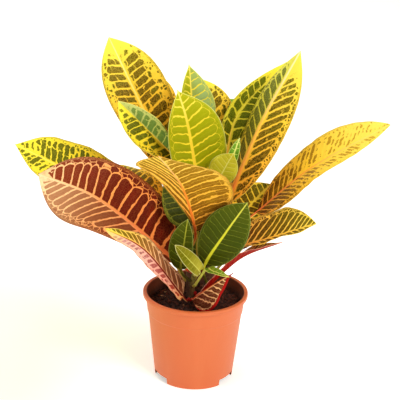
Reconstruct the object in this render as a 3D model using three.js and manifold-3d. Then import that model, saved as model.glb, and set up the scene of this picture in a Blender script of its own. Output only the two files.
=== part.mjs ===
// A potted croton: a plastic nursery pot, its soil, three stems and the leaves that grow from them.
// Millimetres, +Z up. The origin is the middle of the pot's foot, on the surface that it stands on.
import * as THREE from "three";
import { mergeVertices } from "three/addons/utils/BufferGeometryUtils.js";
import Module from "manifold-3d";

const wasm = await Module();
wasm.setup();

// Pot: radii and heights, and the wall's growth in radius for each millimetre of height.
const RIM_RADIUS = 65;
const POT_HEIGHT = 112;
const FOOT_RADIUS = 49;
const WALL_TAPER = 0.108;
const WALL = 2;
const LIP_HEIGHT = 5;
const LIP_ROUND = 1.3;
const COLLAR_HEIGHT = 26;
const COLLAR_STEP = 1;
const COLLAR_SLOPE = 1.5;
const FLOOR_TOP = 11;
const FLOOR_THICK = 2.5;
const CENTRE_FOOT_RADIUS = 16;
const CENTRE_FOOT_SLOPE = 2;
const FOOT_CHAMFER = 0.6;
const POT_SIDES = 72;

// Notches between the pot's feet, and the holes that drain its floor.
const NOTCHES = 3;
const NOTCH_HEIGHT = 8;
const NOTCH_ANGLE = 38;
const NOTCH_DEPTH = 16;
const DRAINS = 6;
const DRAIN_RADIUS = 4;
const DRAIN_CIRCLE = 33;
const DRAIN_SIDES = 16;

// Soil: a shallow dome with low bumps, whose edge lies a little lower along the wall.
const SOIL_TOP = 98;
const SOIL_EDGE_DROP = 3;
const SOIL_SIDES = 48;
const SOIL_RINGS = 6;
const BROAD_BUMP = 1.3;
const SMALL_BUMP = 0.9;
const GAP = 0.3;

// Stems: their foot stands in the soil, and their curve starts a little above it.
const STEM_FOOT = 76;
const STEM_START = SOIL_TOP + 4;
const STEM_SIDES = 12;
const STEM_STEPS = 12;

// Leaves: thickness of the blade, its midrib below, and the least half width at its tip.
const BLADE = 0.9;
const PETIOLE_RADIUS = 1.7;
const RIB = 1.4;
const TIP_HALF = 0.7;
const TAPER = 0.7;
const TIP_NARROWING = 0.6;
const TIP_SHARPNESS = 16;
const PETIOLE_STEPS = 3;
const BLADE_STEPS = 12;
const ACROSS = [-1, -0.5, 0, 0.5, 1];

const UP = new THREE.Vector3(0, 0, 1);
const degrees = THREE.MathUtils.degToRad;
const point = (list) => new THREE.Vector3(...list);

// Each stem: the places that it passes through, and its radius at the foot and at the top.
const stems = {
  stem_tall: {
    path: [[-6, 12, STEM_START], [-9, 15, 178], [-4, 18, 256]],
    radii: [5.5, 3],
  },
  stem_leaning: {
    path: [[12, 8, STEM_START], [22, 14, 165], [26, 22, 228]],
    radii: [5, 3],
  },
  stem_low: {
    path: [[-4, -14, STEM_START], [-4, -16, 124], [-2, -18, 146]],
    radii: [4, 2.5],
  },
};

// Each leaf, in four lines.
// Its colour, its stem, and how far up the stem it leaves.
// The widths of its left and right halves, the share of its length where each is widest, a taper that
// slims both ends when it is larger, how far the halves curl down, and the wave's height and number.
// Where its blade starts, its middle and its tip.
// The side that its upper face looks to, at the blade's start and at its tip, and how far its left and
// right halves rise from flat, in degrees, with another lift at the tip where it opens or closes.
const leaves = [
  { name: "leaf_upper_left", skin: "yellow", stem: "stem_tall", at: 0.7,
    half: [35, 40], widest: [0.55, 0.55], taper: 0.62, curl: 12, wave: [2, 2.5],
    neck: [-22, 20, 244], belly: [-73, 36, 341], tip: [-111, 50, 415],
    face: [0.3, -1, 0.3], turn: [0.1, -1, 0.1], lift: [22, 10] },
  { name: "leaf_upper_left_front", skin: "yellow", stem: "stem_tall", at: 0.85,
    half: [24, 24], widest: [0.55, 0.55], curl: 16, wave: [2, 2],
    neck: [-21, 12, 269], belly: [-61, 2, 316], tip: [-96, 0, 351],
    face: [0.3, -0.8, 0.6], turn: [0.3, -0.9, 0.4], lift: [10, 75] },
  { name: "leaf_centre", skin: "green", stem: "stem_tall", at: 0.96,
    half: [31, 42], widest: [0.36, 0.34], taper: 0.95, curl: 10, wave: [1.5, 2],
    neck: [1, 2, 240], belly: [-14, -8, 325], tip: [-27, -5, 367],
    face: [0.2, -1, 0.2], turn: [0.2, -1, 0.2], lift: [28, 5] },
  { name: "leaf_centre_behind", skin: "green", stem: "stem_tall", at: 1,
    half: [30, 29], widest: [0.45, 0.45], taper: 0.85, curl: 12, wave: [1.5, 2],
    neck: [0, 24, 267], belly: [-10, 28, 338], tip: [-15, 32, 389],
    face: [0.4, -1, 0.2], turn: [0.3, -1, 0.2], lift: [50, 8] },
  { name: "leaf_centre_back", skin: "yellow", stem: "stem_leaning", at: 1,
    half: [30, 30], widest: [0.5, 0.5], curl: 12, wave: [2, 2],
    neck: [16, 50, 279], belly: [12, 68, 319], tip: [-4, 80, 362],
    face: [0, -1, 0.4], turn: [0, -1, 0.6], lift: [10, 10] },
  { name: "leaf_right_behind", skin: "dark", stem: "stem_leaning", at: 0.97,
    half: [18, 26], widest: [0.5, 0.5], curl: 14, wave: [2, 2],
    neck: [33, 40, 272], belly: [48, 58, 326], tip: [104, 82, 384],
    face: [-0.2, -1, 0.3], turn: [-0.2, -1, 0.3], lift: [50, 15] },
  { name: "leaf_upper_right", skin: "yellow", stem: "stem_leaning", at: 0.85,
    half: [34, 33], widest: [0.5, 0.5], curl: 12, wave: [1.5, 2],
    neck: [35, 6, 227], belly: [73, 12, 328], tip: [115, 22, 411],
    face: [-0.5, -1, 0.2], turn: [-0.3, -1, 0.2], lift: [-40, 0] },
  { name: "leaf_far_right", skin: "yellow", stem: "stem_leaning", at: 0.58,
    half: [32, 29], widest: [0.6, 0.3], taper: 0.5, curl: 16, wave: [2, 2],
    neck: [72, 20, 209], belly: [136, 14, 271], tip: [223, 0, 331],
    face: [-0.3, -0.5, 0.8], turn: [-0.3, -0.7, 0.7], lift: [10, 30] },
  { name: "leaf_lower_right", skin: "dark", stem: "stem_leaning", at: 0.25,
    half: [34, 9], widest: [0.48, 0.5], taper: 0.5, curl: 16, wave: [2, 2],
    neck: [50, -26, 179], belly: [95, -40, 203], tip: [138, -52, 224],
    face: [-0.2, -0.3, 1], turn: [-0.2, -0.5, 1], lift: [30, 26] },
  { name: "leaf_edge_right", skin: "red", stem: "stem_low", at: 0.33,
    half: [16, 16], widest: [0.5, 0.5], curl: 10, wave: [1.5, 2],
    neck: [6, -20, 117], belly: [52, -31, 169], tip: [101, -44, 197],
    face: [-0.5, 0.2, 1], turn: [-0.4, 0.2, 1], lift: [20, 30] },
  { name: "leaf_low_front", skin: "red", stem: "stem_low", at: 0.13,
    half: [8, 25], widest: [0.4, 0.27], taper: 1.2, curl: 20, wave: [1, 2],
    neck: [-4, -29, 113], belly: [20, -42, 138], tip: [44, -50, 158],
    face: [0, -0.6, 1], turn: [0, -0.6, 1], lift: [-40, -20] },
  { name: "leaf_far_left", skin: "yellow", stem: "stem_tall", at: 0.43,
    half: [30, 40], widest: [0.55, 0.55], curl: 20, wave: [3, 2.5],
    neck: [-62, 24, 226], belly: [-152, 33, 250], tip: [-225, 40, 282],
    face: [0.2, -0.7, 0.8], turn: [0.2, -0.7, 0.7], lift: [20, 12] },
  { name: "leaf_left_large", skin: "red", stem: "stem_low", at: 0.92,
    half: [42, 50], widest: [0.64, 0.38], taper: 0.62, curl: 14, wave: [2, 2.5],
    neck: [-20, -4, 148], belly: [-114, -26, 236], tip: [-184, -44, 273],
    face: [0.3, -1, 0.35], turn: [0.3, -1, 0.3], lift: [0, 6] },
  { name: "leaf_low_left", skin: "red", stem: "stem_low", at: 0.13,
    half: [17, 20], widest: [0.36, 0.2], taper: 0.55, curl: 10, wave: [2, 2],
    neck: [-15, -26, 114], belly: [-60, -56, 186], tip: [-106, -72, 219],
    face: [0.55, -0.25, 0.8], turn: [0.3, -0.35, 0.8], lift: [0, 25] },
  { name: "leaf_middle_front", skin: "yellow", stem: "stem_tall", at: 0.4,
    half: [56, 44], widest: [0.5, 0.72], curl: 10, wave: [1.5, 2],
    neck: [-2, -25, 199], belly: [-17, -85, 275], tip: [-42, -140, 329],
    face: [0, 0.8, 0.5], turn: [0, 0.4, 1], lift: [5, 42], open: [5, 10] },
  { name: "leaf_dark_front", skin: "dark", stem: "stem_leaning", at: 0.13,
    half: [27, 27], widest: [0.5, 0.42], curl: 12, wave: [1, 2],
    neck: [10, -37, 161], belly: [33, -63, 214], tip: [56, -80, 258],
    face: [0, -1, 0.3], turn: [0, -1, 0.3], lift: [5, 5] },
  { name: "leaf_dark_small", skin: "dark", stem: "stem_low", at: 0.7,
    half: [18, 13], widest: [0.42, 0.42], curl: 10, wave: [0.5, 2],
    neck: [-18, -26, 150], belly: [-15, -36, 187], tip: [-11, -42, 222],
    face: [-0.2, -1, 0.2], turn: [-0.2, -1, 0.2], lift: [5, 20] },
  { name: "leaf_young_curled", skin: "green", stem: "stem_low", at: 0.9,
    half: [11, 10], widest: [0.35, 0.35], taper: 0.45, curl: 20, wave: [0.5, 2],
    neck: [4, -44, 156], belly: [-10, -54, 177], tip: [-25, -60, 196],
    face: [0.6, -1, 0.6], turn: [0.5, -1, 0.4], lift: [30, 38] },
  { name: "leaf_young_green", skin: "green", stem: "stem_low", at: 0.55,
    half: [7, 7], widest: [0.4, 0.4], curl: 10, wave: [0.5, 2],
    neck: [12, -47, 161], belly: [20, -60, 164], tip: [39, -68, 161],
    face: [0, -0.3, 1], turn: [0, -0.3, 1], lift: [20, 20] },
  { name: "leaf_light_centre", skin: "green", stem: "stem_leaning", at: 0.73,
    half: [18, 16], widest: [0.62, 0.62], curl: 10, wave: [1, 2],
    neck: [18, -12, 241], belly: [27, -18, 270], tip: [40, -20, 297],
    face: [-0.1, -1, 0.3], turn: [-0.1, -1, 0.3], lift: [10, 10] },
  { name: "leaf_right_small", skin: "dark", stem: "stem_leaning", at: 0.4,
    half: [24, 22], widest: [0.5, 0.5], curl: 12, wave: [1.5, 2],
    neck: [49, 36, 184], belly: [66, 42, 212], tip: [91, 46, 238],
    face: [0, -1, 0.3], turn: [0, -1, 0.3], lift: [5, 5] },
  { name: "leaf_young_narrow", skin: "green", stem: "stem_leaning", at: 1,
    half: [7, 7], widest: [0.45, 0.45], curl: 5, wave: [0.3, 2],
    neck: [35, -6, 269], belly: [41, -6, 291], tip: [47, -4, 311],
    face: [-0.2, -1, 0.3], turn: [-0.2, -1, 0.3], lift: [25, 25] },
  { name: "leaf_shaded", skin: "dark", stem: "stem_tall", at: 0.52,
    half: [22, 22], widest: [0.5, 0.5], curl: 12, wave: [1.5, 2],
    neck: [-4, -1, 198], belly: [-19, -4, 221], tip: [-42, 2, 247],
    face: [0.2, -1, 0.3], turn: [0.2, -1, 0.3], lift: [20, 20] },
  { name: "leaf_inner_left", skin: "dark", stem: "stem_tall", at: 0.08,
    half: [15, 20], widest: [0.38, 0.38], curl: 12, wave: [1.5, 2],
    neck: [2, 30, 124], belly: [0, 34, 158], tip: [3, 36, 192],
    face: [0, -1, 0.3], turn: [0, -1, 0.3], lift: [12, 12] },
  { name: "leaf_inner_right", skin: "dark", stem: "stem_leaning", at: 0.2,
    half: [20, 20], widest: [0.5, 0.5], curl: 12, wave: [1.5, 2],
    neck: [24, 34, 145], belly: [36, 40, 172], tip: [48, 44, 200],
    face: [0, -1, 0.3], turn: [0, -1, 0.3], lift: [12, 12] },
  { name: "leaf_back_left", skin: "yellow", stem: "stem_tall", at: 0.22,
    half: [34, 34], widest: [0.5, 0.5], curl: 16, wave: [2.5, 2.5],
    neck: [-40, 60, 175], belly: [-90, 125, 215], tip: [-140, 175, 215],
    face: [0.2, -0.3, 1], turn: [0.2, 0.3, 1], lift: [18, 18] },
  { name: "leaf_back_centre", skin: "yellow", stem: "stem_tall", at: 0.52,
    half: [36, 36], widest: [0.5, 0.5], curl: 16, wave: [2, 2.5],
    neck: [-12, 60, 230], belly: [-25, 130, 280], tip: [-35, 190, 270],
    face: [0, -0.5, 1], turn: [0, 0.4, 1], lift: [16, 16] },
  { name: "leaf_back_right", skin: "yellow", stem: "stem_leaning", at: 0.7,
    half: [30, 30], widest: [0.5, 0.5], curl: 16, wave: [2, 2.5],
    neck: [40, 50, 235], belly: [65, 110, 275], tip: [90, 165, 255],
    face: [-0.2, -0.4, 1], turn: [0.2, 0.4, 1], lift: [18, 18] },
  { name: "leaf_back_low", skin: "dark", stem: "stem_leaning", at: 0.13,
    half: [30, 30], widest: [0.5, 0.5], curl: 16, wave: [2, 2.5],
    neck: [25, 60, 150], belly: [35, 120, 175], tip: [40, 180, 150],
    face: [0, -0.3, 1], turn: [0, 0.5, 1], lift: [15, 15] },
  { name: "leaf_back_upper_left", skin: "yellow", stem: "stem_tall", at: 0.92,
    half: [28, 28], widest: [0.5, 0.5], curl: 14, wave: [2, 2],
    neck: [-30, 45, 290], belly: [-60, 80, 335], tip: [-95, 110, 360],
    face: [0.4, -1, 0.6], turn: [0.4, -0.8, 0.8], lift: [18, 18] },
  { name: "leaf_back_low_right", skin: "red", stem: "stem_leaning", at: 0.1,
    half: [28, 28], widest: [0.5, 0.5], curl: 16, wave: [2, 2],
    neck: [55, 40, 150], belly: [90, 80, 180], tip: [115, 115, 165],
    face: [-0.3, -0.2, 1], turn: [0.2, 0.3, 1], lift: [15, 15] },
  { name: "leaf_back_low_left", skin: "dark", stem: "stem_tall", at: 0.1,
    half: [22, 22], widest: [0.5, 0.5], curl: 16, wave: [2, 2],
    neck: [-35, 30, 145], belly: [-75, 65, 175], tip: [-100, 95, 165],
    face: [0.3, -0.2, 1], turn: [-0.2, 0.3, 1], lift: [15, 15] },
  { name: "leaf_back_upper", skin: "green", stem: "stem_leaning", at: 0.88,
    half: [26, 26], widest: [0.5, 0.5], curl: 14, wave: [2, 2],
    neck: [35, 60, 265], belly: [45, 110, 305], tip: [60, 150, 320],
    face: [0, -1, 1], turn: [0, -0.4, 1], lift: [16, 16] },
];

// A solid from rings of points that run the same way round, each as seen from the start of the row.
// The second half of a leaf's ring is its under side, and its faces are split as the upper ones are.
function skinRings(rings, mirrored) {
  const around = rings[0].length;
  const positions = [];
  const faces = [];
  for (const ring of rings) {
    for (const p of ring) {
      positions.push(p.x, p.y, p.z);
    }
  }
  for (let i = 0; i < rings.length - 1; i++) {
    for (let k = 0; k < around; k++) {
      const next = (k + 1) % around;
      const a = i * around + k;
      const b = i * around + next;
      const c = b + around;
      const d = a + around;
      if (mirrored && k >= around / 2) {
        faces.push(a, b, d, b, c, d);
      } else {
        faces.push(a, b, c, a, c, d);
      }
    }
  }
  for (const end of [0, rings.length - 1]) {
    const middle = positions.length / 3;
    const centre = rings[end].reduce((sum, p) => sum.add(p), new THREE.Vector3()).divideScalar(around);
    positions.push(centre.x, centre.y, centre.z);
    for (let k = 0; k < around; k++) {
      const a = end * around + k;
      const b = end * around + ((k + 1) % around);
      faces.push(...(end === 0 ? [middle, b, a] : [middle, a, b]));
    }
  }
  const geometry = new THREE.BufferGeometry();
  geometry.setAttribute("position", new THREE.Float32BufferAttribute(positions, 3));
  geometry.setIndex(faces);
  return geometry;
}

function toSolid(geometry) {
  const plain = geometry.clone();
  for (const name of ["normal", "uv"]) {
    plain.deleteAttribute(name);
  }
  const merged = mergeVertices(plain, 1e-4);
  return new wasm.Manifold(new wasm.Mesh({
    numProp: 3,
    vertProperties: merged.attributes.position.array,
    triVerts: new Uint32Array(merged.index.array),
  }));
}

function toGeometry(solid) {
  const mesh = solid.getMesh();
  const geometry = new THREE.BufferGeometry();
  geometry.setAttribute("position", new THREE.BufferAttribute(mesh.vertProperties, 3));
  geometry.setIndex(new THREE.BufferAttribute(mesh.triVerts, 1));
  return geometry;
}

// The pot's outer radius at a height, without its collar.
function wallRadius(height) {
  return FOOT_RADIUS + WALL_TAPER * height;
}

function potProfile() {
  const collarFoot = POT_HEIGHT - COLLAR_HEIGHT;
  const collarTop = collarFoot + COLLAR_SLOPE;
  const lipFoot = POT_HEIGHT - LIP_HEIGHT;
  const innerTop = wallRadius(POT_HEIGHT) + COLLAR_STEP - WALL;
  const bevel = LIP_ROUND / 3;
  return [
    [0, 0],
    [CENTRE_FOOT_RADIUS, 0],
    [CENTRE_FOOT_RADIUS + CENTRE_FOOT_SLOPE, FLOOR_TOP - FLOOR_THICK],
    [FOOT_RADIUS - FOOT_CHAMFER - WALL, FLOOR_TOP - FLOOR_THICK],
    [FOOT_RADIUS - FOOT_CHAMFER - WALL, 0],
    [FOOT_RADIUS - FOOT_CHAMFER, 0],
    [wallRadius(FOOT_CHAMFER), FOOT_CHAMFER],
    [wallRadius(collarFoot), collarFoot],
    [wallRadius(collarFoot) + COLLAR_STEP, collarTop],
    [wallRadius(lipFoot) + COLLAR_STEP, lipFoot],
    [RIM_RADIUS - 2 * bevel, lipFoot],
    [RIM_RADIUS, lipFoot + 2 * bevel],
    [RIM_RADIUS, POT_HEIGHT - LIP_ROUND],
    [RIM_RADIUS - bevel, POT_HEIGHT - bevel],
    [RIM_RADIUS - LIP_ROUND, POT_HEIGHT],
    [innerTop + LIP_ROUND, POT_HEIGHT],
    [innerTop + bevel, POT_HEIGHT - bevel],
    [innerTop, POT_HEIGHT - LIP_ROUND],
    [wallRadius(collarFoot) + COLLAR_STEP - WALL, collarTop],
    [wallRadius(collarFoot) - WALL, collarFoot],
    [wallRadius(FLOOR_TOP) - WALL, FLOOR_TOP],
    [0, FLOOR_TOP],
  ];
}

function potGeometry() {
  const profile = potProfile().map(([radius, height]) => new THREE.Vector2(radius, height));
  const lathe = new THREE.LatheGeometry(profile, POT_SIDES);
  lathe.rotateX(Math.PI / 2);
  let pot = toSolid(lathe);
  const notchWidth = 2 * FOOT_RADIUS * Math.sin(degrees(NOTCH_ANGLE / 2));
  for (let i = 0; i < NOTCHES; i++) {
    const notch = new THREE.BoxGeometry(notchWidth, NOTCH_DEPTH, 2 * NOTCH_HEIGHT);
    notch.translate(0, FOOT_RADIUS, 0);
    notch.rotateZ((2 * Math.PI * i) / NOTCHES);
    pot = pot.subtract(toSolid(notch));
  }
  for (let i = 0; i < DRAINS; i++) {
    const drain = new THREE.CylinderGeometry(DRAIN_RADIUS, DRAIN_RADIUS, 2 * FLOOR_THICK, DRAIN_SIDES);
    drain.rotateX(Math.PI / 2);
    drain.translate(DRAIN_CIRCLE, 0, FLOOR_TOP - FLOOR_THICK / 2);
    drain.rotateZ((2 * Math.PI * i) / DRAINS);
    pot = pot.subtract(toSolid(drain));
  }
  return toGeometry(pot);
}

function soilRing(heightAt, radius) {
  const ring = [];
  for (let k = 0; k < SOIL_SIDES; k++) {
    const angle = (2 * Math.PI * k) / SOIL_SIDES;
    ring.push(new THREE.Vector3(radius * Math.cos(angle), -radius * Math.sin(angle), heightAt(angle)));
  }
  return ring;
}

// The soil is one bedded mass that fills the pot to its walls, with a plain hole for each stem.
function soilGeometry() {
  const collarFoot = POT_HEIGHT - COLLAR_HEIGHT;
  const collarTop = collarFoot + COLLAR_SLOPE;
  const edgeHeight = SOIL_TOP - SOIL_EDGE_DROP;
  const clearance = WALL + GAP;
  const topRadius = wallRadius(edgeHeight) + COLLAR_STEP - clearance;
  const rings = [];
  for (let i = 1; i < SOIL_RINGS; i++) {
    const share = i / SOIL_RINGS;
    const dome = SOIL_TOP - SOIL_EDGE_DROP * share ** 4;
    const bumps = (angle) => dome
      + BROAD_BUMP * Math.sin(3 * angle + 7 * share)
      + SMALL_BUMP * Math.sin(7 * angle - 11 * share);
    rings.push(soilRing(bumps, topRadius * share));
  }
  rings.push(
    soilRing(() => edgeHeight, topRadius),
    soilRing(() => collarTop, wallRadius(collarFoot) + COLLAR_STEP - clearance),
    soilRing(() => collarFoot, wallRadius(collarFoot) - clearance),
    soilRing(() => FLOOR_TOP + GAP, wallRadius(FLOOR_TOP) - clearance),
  );
  let soil = toSolid(skinRings(rings, false));
  const depth = STEM_START - STEM_FOOT;
  for (const stem of Object.values(stems)) {
    const radius = stem.radii[0] + GAP;
    const hole = new THREE.CylinderGeometry(radius, radius, depth, STEM_SIDES);
    hole.rotateX(Math.PI / 2);
    hole.translate(stem.path[0][0], stem.path[0][1], STEM_FOOT - GAP + depth / 2);
    soil = soil.subtract(toSolid(hole));
  }
  return toGeometry(soil);
}

function curveThrough(places) {
  return new THREE.CatmullRomCurve3(places, false, "catmullrom", 0.5);
}

function stemCurve(stem) {
  return curveThrough(stem.path.map(point));
}

function stemRadius(stem, at) {
  return THREE.MathUtils.lerp(stem.radii[0], stem.radii[1], at);
}

function stemGeometry(stem) {
  const curve = stemCurve(stem);
  const rings = [];
  for (let i = -1; i <= STEM_STEPS; i++) {
    const at = Math.max(i, 0) / STEM_STEPS;
    const centre = i < 0 ? curve.getPoint(0).setZ(STEM_FOOT) : curve.getPoint(at);
    const along = i <= 0 ? UP : curve.getTangent(at);
    const side = new THREE.Vector3(0, 1, 0).cross(along).normalize();
    const front = along.clone().cross(side);
    const ring = [];
    for (let k = 0; k < STEM_SIDES; k++) {
      const angle = (2 * Math.PI * k) / STEM_SIDES;
      ring.push(centre.clone()
        .addScaledVector(side, stemRadius(stem, at) * Math.cos(angle))
        .addScaledVector(front, stemRadius(stem, at) * Math.sin(angle)));
    }
    rings.push(ring);
  }
  return skinRings(rings, false);
}

// Where a leaf starts, just clear of its stem.
function leafRoot(leaf) {
  const stem = stems[leaf.stem];
  const centre = stemCurve(stem).getPoint(leaf.at);
  const towards = point(leaf.neck).sub(centre).normalize();
  const rise = towards.z;
  const outward = towards.setZ(0).normalize();
  const reach = stemRadius(stem, leaf.at) + 2 * GAP + PETIOLE_RADIUS * Math.abs(rise);
  return centre.addScaledVector(outward, reach);
}

// Share of the half width that a blade has at a share of its length, with its tip drawn out to a point.
function bladeOutline(share, widest, taper) {
  const lean = Math.log(0.5) / Math.log(widest);
  return Math.sin(Math.PI * share ** lean) ** taper * (1 - TIP_NARROWING * share ** TIP_SHARPNESS);
}

function leafGeometry(leaf) {
  const curve = curveThrough([leafRoot(leaf), point(leaf.neck), point(leaf.belly), point(leaf.tip)]);
  const rings = [];
  for (let i = -PETIOLE_STEPS; i <= BLADE_STEPS; i++) {
    const share = Math.max(i / BLADE_STEPS, 0);
    const petiole = Math.max(-i / PETIOLE_STEPS, 0);
    const place = petiole > 0 ? (1 - petiole) / 3 : (1 + 2 * share) / 3;
    const middle = curve.getPoint(place);
    const along = curve.getTangent(place);
    const face = point(leaf.face).lerp(point(leaf.turn), share);
    const normal = face.addScaledVector(along, -face.dot(along)).normalize();
    const right = along.clone().cross(normal);
    rings.push(petiole > 0
      ? petioleRing(middle, normal, right)
      : bladeRing(leaf, share, middle, normal, right));
  }
  return skinRings(rings, true);
}

function petioleRing(middle, normal, right) {
  const ring = [];
  const count = 2 * ACROSS.length;
  for (let k = 0; k < count; k++) {
    const angle = Math.PI - ((k + 0.5) * 2 * Math.PI) / count;
    ring.push(middle.clone()
      .addScaledVector(right, PETIOLE_RADIUS * Math.cos(angle))
      .addScaledVector(normal, PETIOLE_RADIUS * Math.sin(angle)));
  }
  return ring;
}

// One cross-section of a blade: its upper side from left to right, then its under side back.
function bladeRing(leaf, share, middle, normal, right) {
  const slimmest = THREE.MathUtils.lerp(PETIOLE_RADIUS, TIP_HALF, share);
  const [waveHeight, waves] = leaf.wave;
  const top = [];
  const bottom = [];
  for (const across of ACROSS) {
    const out = Math.abs(across);
    const side = Math.sign(across);
    const hand = side < 0 ? 0 : 1;
    const outline = bladeOutline(share, leaf.widest[hand], leaf.taper ?? TAPER);
    const width = Math.max(slimmest, leaf.half[hand] * outline);
    const lift = THREE.MathUtils.lerp(leaf.lift[hand], (leaf.open ?? leaf.lift)[hand], share);
    const slope = degrees(lift - (leaf.curl * out) / 2);
    const wave = waveHeight * out * out * outline * Math.sin(2 * Math.PI * waves * share + side);
    const onSurface = middle.clone()
      .addScaledVector(right, width * across * Math.cos(slope))
      .addScaledVector(normal, width * out * Math.sin(slope) + wave);
    const edge = Math.abs(side) * degrees(lift - leaf.curl * out);
    const skin = normal.clone()
      .multiplyScalar(Math.cos(edge))
      .addScaledVector(right, -side * Math.sin(edge));
    const rib = out === 0 ? RIB * (1 - share) : 0;
    top.push(onSurface.clone().addScaledVector(skin, BLADE / 2));
    bottom.unshift(onSurface.clone().addScaledVector(skin, -BLADE / 2 - rib));
  }
  return [...top, ...bottom];
}

function finish(color, roughness) {
  return new THREE.MeshStandardMaterial({ color, roughness, metalness: 0 });
}

const finishes = {
  plastic: finish(0xee8152, 0.5),
  peat: finish(0x2b1710, 0.95),
  bark: finish(0x7a6a3c, 0.8),
  yellow: finish(0xdcc23e, 0.4),
  green: finish(0x9fb234, 0.4),
  dark: finish(0x5f6a20, 0.4),
  red: finish(0xa0482a, 0.4),
};

const croton = new THREE.Group();

function addPiece(name, geometry, material) {
  const piece = new THREE.Mesh(geometry, material);
  piece.name = name;
  croton.add(piece);
}

addPiece("pot", potGeometry(), finishes.plastic);
addPiece("soil", soilGeometry(), finishes.peat);
for (const [name, stem] of Object.entries(stems)) {
  addPiece(name, stemGeometry(stem), finishes.bark);
}
for (const leaf of leaves) {
  addPiece(leaf.name, leafGeometry(leaf), finishes[leaf.skin]);
}

export default croton;
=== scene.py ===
import math

import bmesh
import bpy
import numpy as np
from mathutils import Matrix, Vector, noise


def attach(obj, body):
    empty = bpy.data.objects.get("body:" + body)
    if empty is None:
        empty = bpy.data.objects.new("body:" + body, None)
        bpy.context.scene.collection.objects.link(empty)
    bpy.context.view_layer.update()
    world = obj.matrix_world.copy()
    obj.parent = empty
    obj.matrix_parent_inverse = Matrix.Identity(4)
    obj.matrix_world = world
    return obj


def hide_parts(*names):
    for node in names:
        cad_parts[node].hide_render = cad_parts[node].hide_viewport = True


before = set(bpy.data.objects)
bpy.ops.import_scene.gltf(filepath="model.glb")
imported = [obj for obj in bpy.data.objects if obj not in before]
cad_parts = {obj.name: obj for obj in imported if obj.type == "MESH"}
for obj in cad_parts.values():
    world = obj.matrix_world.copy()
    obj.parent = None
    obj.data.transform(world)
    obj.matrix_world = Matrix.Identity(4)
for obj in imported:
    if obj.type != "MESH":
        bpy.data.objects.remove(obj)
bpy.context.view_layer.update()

MM = 0.001

# Sizes of the pot, soil, stems and leaves as the part has them, in millimetres, with angles in degrees.
RIM_RADIUS = 65
POT_HEIGHT = 112
FOOT_RADIUS = 49
WALL_TAPER = 0.108
WALL = 2
LIP_HEIGHT = 5
LIP_ROUND = 1.3
COLLAR_HEIGHT = 26
COLLAR_STEP = 1
COLLAR_SLOPE = 1.5
FLOOR_TOP = 11
FLOOR_THICK = 2.5
CENTRE_FOOT_RADIUS = 16
CENTRE_FOOT_SLOPE = 2
FOOT_CHAMFER = 0.6
NOTCHES = 3
NOTCH_HEIGHT = 8
NOTCH_DEPTH = 16
NOTCH_ANGLE = 38
DRAINS = 6
DRAIN_RADIUS = 4
DRAIN_CIRCLE = 33
SOIL_TOP = 98
SOIL_EDGE_DROP = 3
SOIL_CLEARANCE = 0.3
BROAD_BUMP = 1.3
SMALL_BUMP = 0.9
STEM_FOOT = 76
STEM_START = SOIL_TOP + 4
PETIOLE_RADIUS = 1.7
RIB = 1.4
TIP_HALF = 0.7
TAPER = 0.7
TIP_NARROWING = 0.6
TIP_SHARPNESS = 16

# Each stem: the places that it passes through, and its radius at the foot and at the top.
STEMS = {
    "stem_tall": dict(path=[(-6, 12, STEM_START), (-9, 15, 178), (-4, 18, 256)], radii=(5.5, 3)),
    "stem_leaning": dict(path=[(12, 8, STEM_START), (22, 14, 165), (26, 22, 228)], radii=(5, 3)),
    "stem_low": dict(path=[(-4, -14, STEM_START), (-4, -16, 124), (-2, -18, 146)], radii=(4, 2.5)),
}


# Shader arithmetic

class Wire:
    """A shader socket that takes part in plain arithmetic. Each step adds a Math node."""

    def __init__(self, finish, socket):
        self.finish = finish
        self.socket = socket

    def math(self, operation, *values, **settings):
        settings["operation"] = operation
        inputs = dict(enumerate(values))
        return self.finish.node("ShaderNodeMath", settings, inputs, out="Value")

    def __add__(self, other):
        return self.math("ADD", self, other)

    def __sub__(self, other):
        return self.math("SUBTRACT", self, other)

    def __mul__(self, other):
        return self.math("MULTIPLY", self, other)

    def __truediv__(self, other):
        return self.math("DIVIDE", self, other)

    def __pow__(self, other):
        return self.math("POWER", self, other)

    def __radd__(self, other):
        return self.math("ADD", other, self)

    def __rsub__(self, other):
        return self.math("SUBTRACT", other, self)

    def __rmul__(self, other):
        return self.math("MULTIPLY", other, self)

    def __rtruediv__(self, other):
        return self.math("DIVIDE", other, self)

    def __neg__(self):
        return self.math("MULTIPLY", self, -1.0)

    def __abs__(self):
        return self.math("ABSOLUTE", self)


def most(first, *others):
    """The greatest of several values."""
    for other in others:
        first = first.math("MAXIMUM", first, other)
    return first


def clamped(value):
    return value.math("ADD", value, 0.0, use_clamp=True)


def whole_part(value):
    return value.math("FLOOR", value)


def to_nearest(value):
    """The distance to the nearest whole number."""
    return value.math("PINGPONG", value, 0.5)


def rises(value, low, high):
    """0 below low, 1 above high, and smooth between them."""
    return value.finish.node(
        "ShaderNodeMapRange", {"interpolation_type": "SMOOTHSTEP"},
        {"Value": value, "From Min": low, "From Max": high}, out="Result")


def falls(value, low, high):
    return 1 - rises(value, low, high)


def shade(code):
    """A linear colour from the six hex digits of a display colour."""
    parts = [int(code[i:i + 2], 16) / 255 for i in (0, 2, 4)]
    linear = [p / 12.92 if p <= 0.04045 else ((p + 0.055) / 1.055) ** 2.4 for p in parts]
    return (*linear, 1.0)


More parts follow.
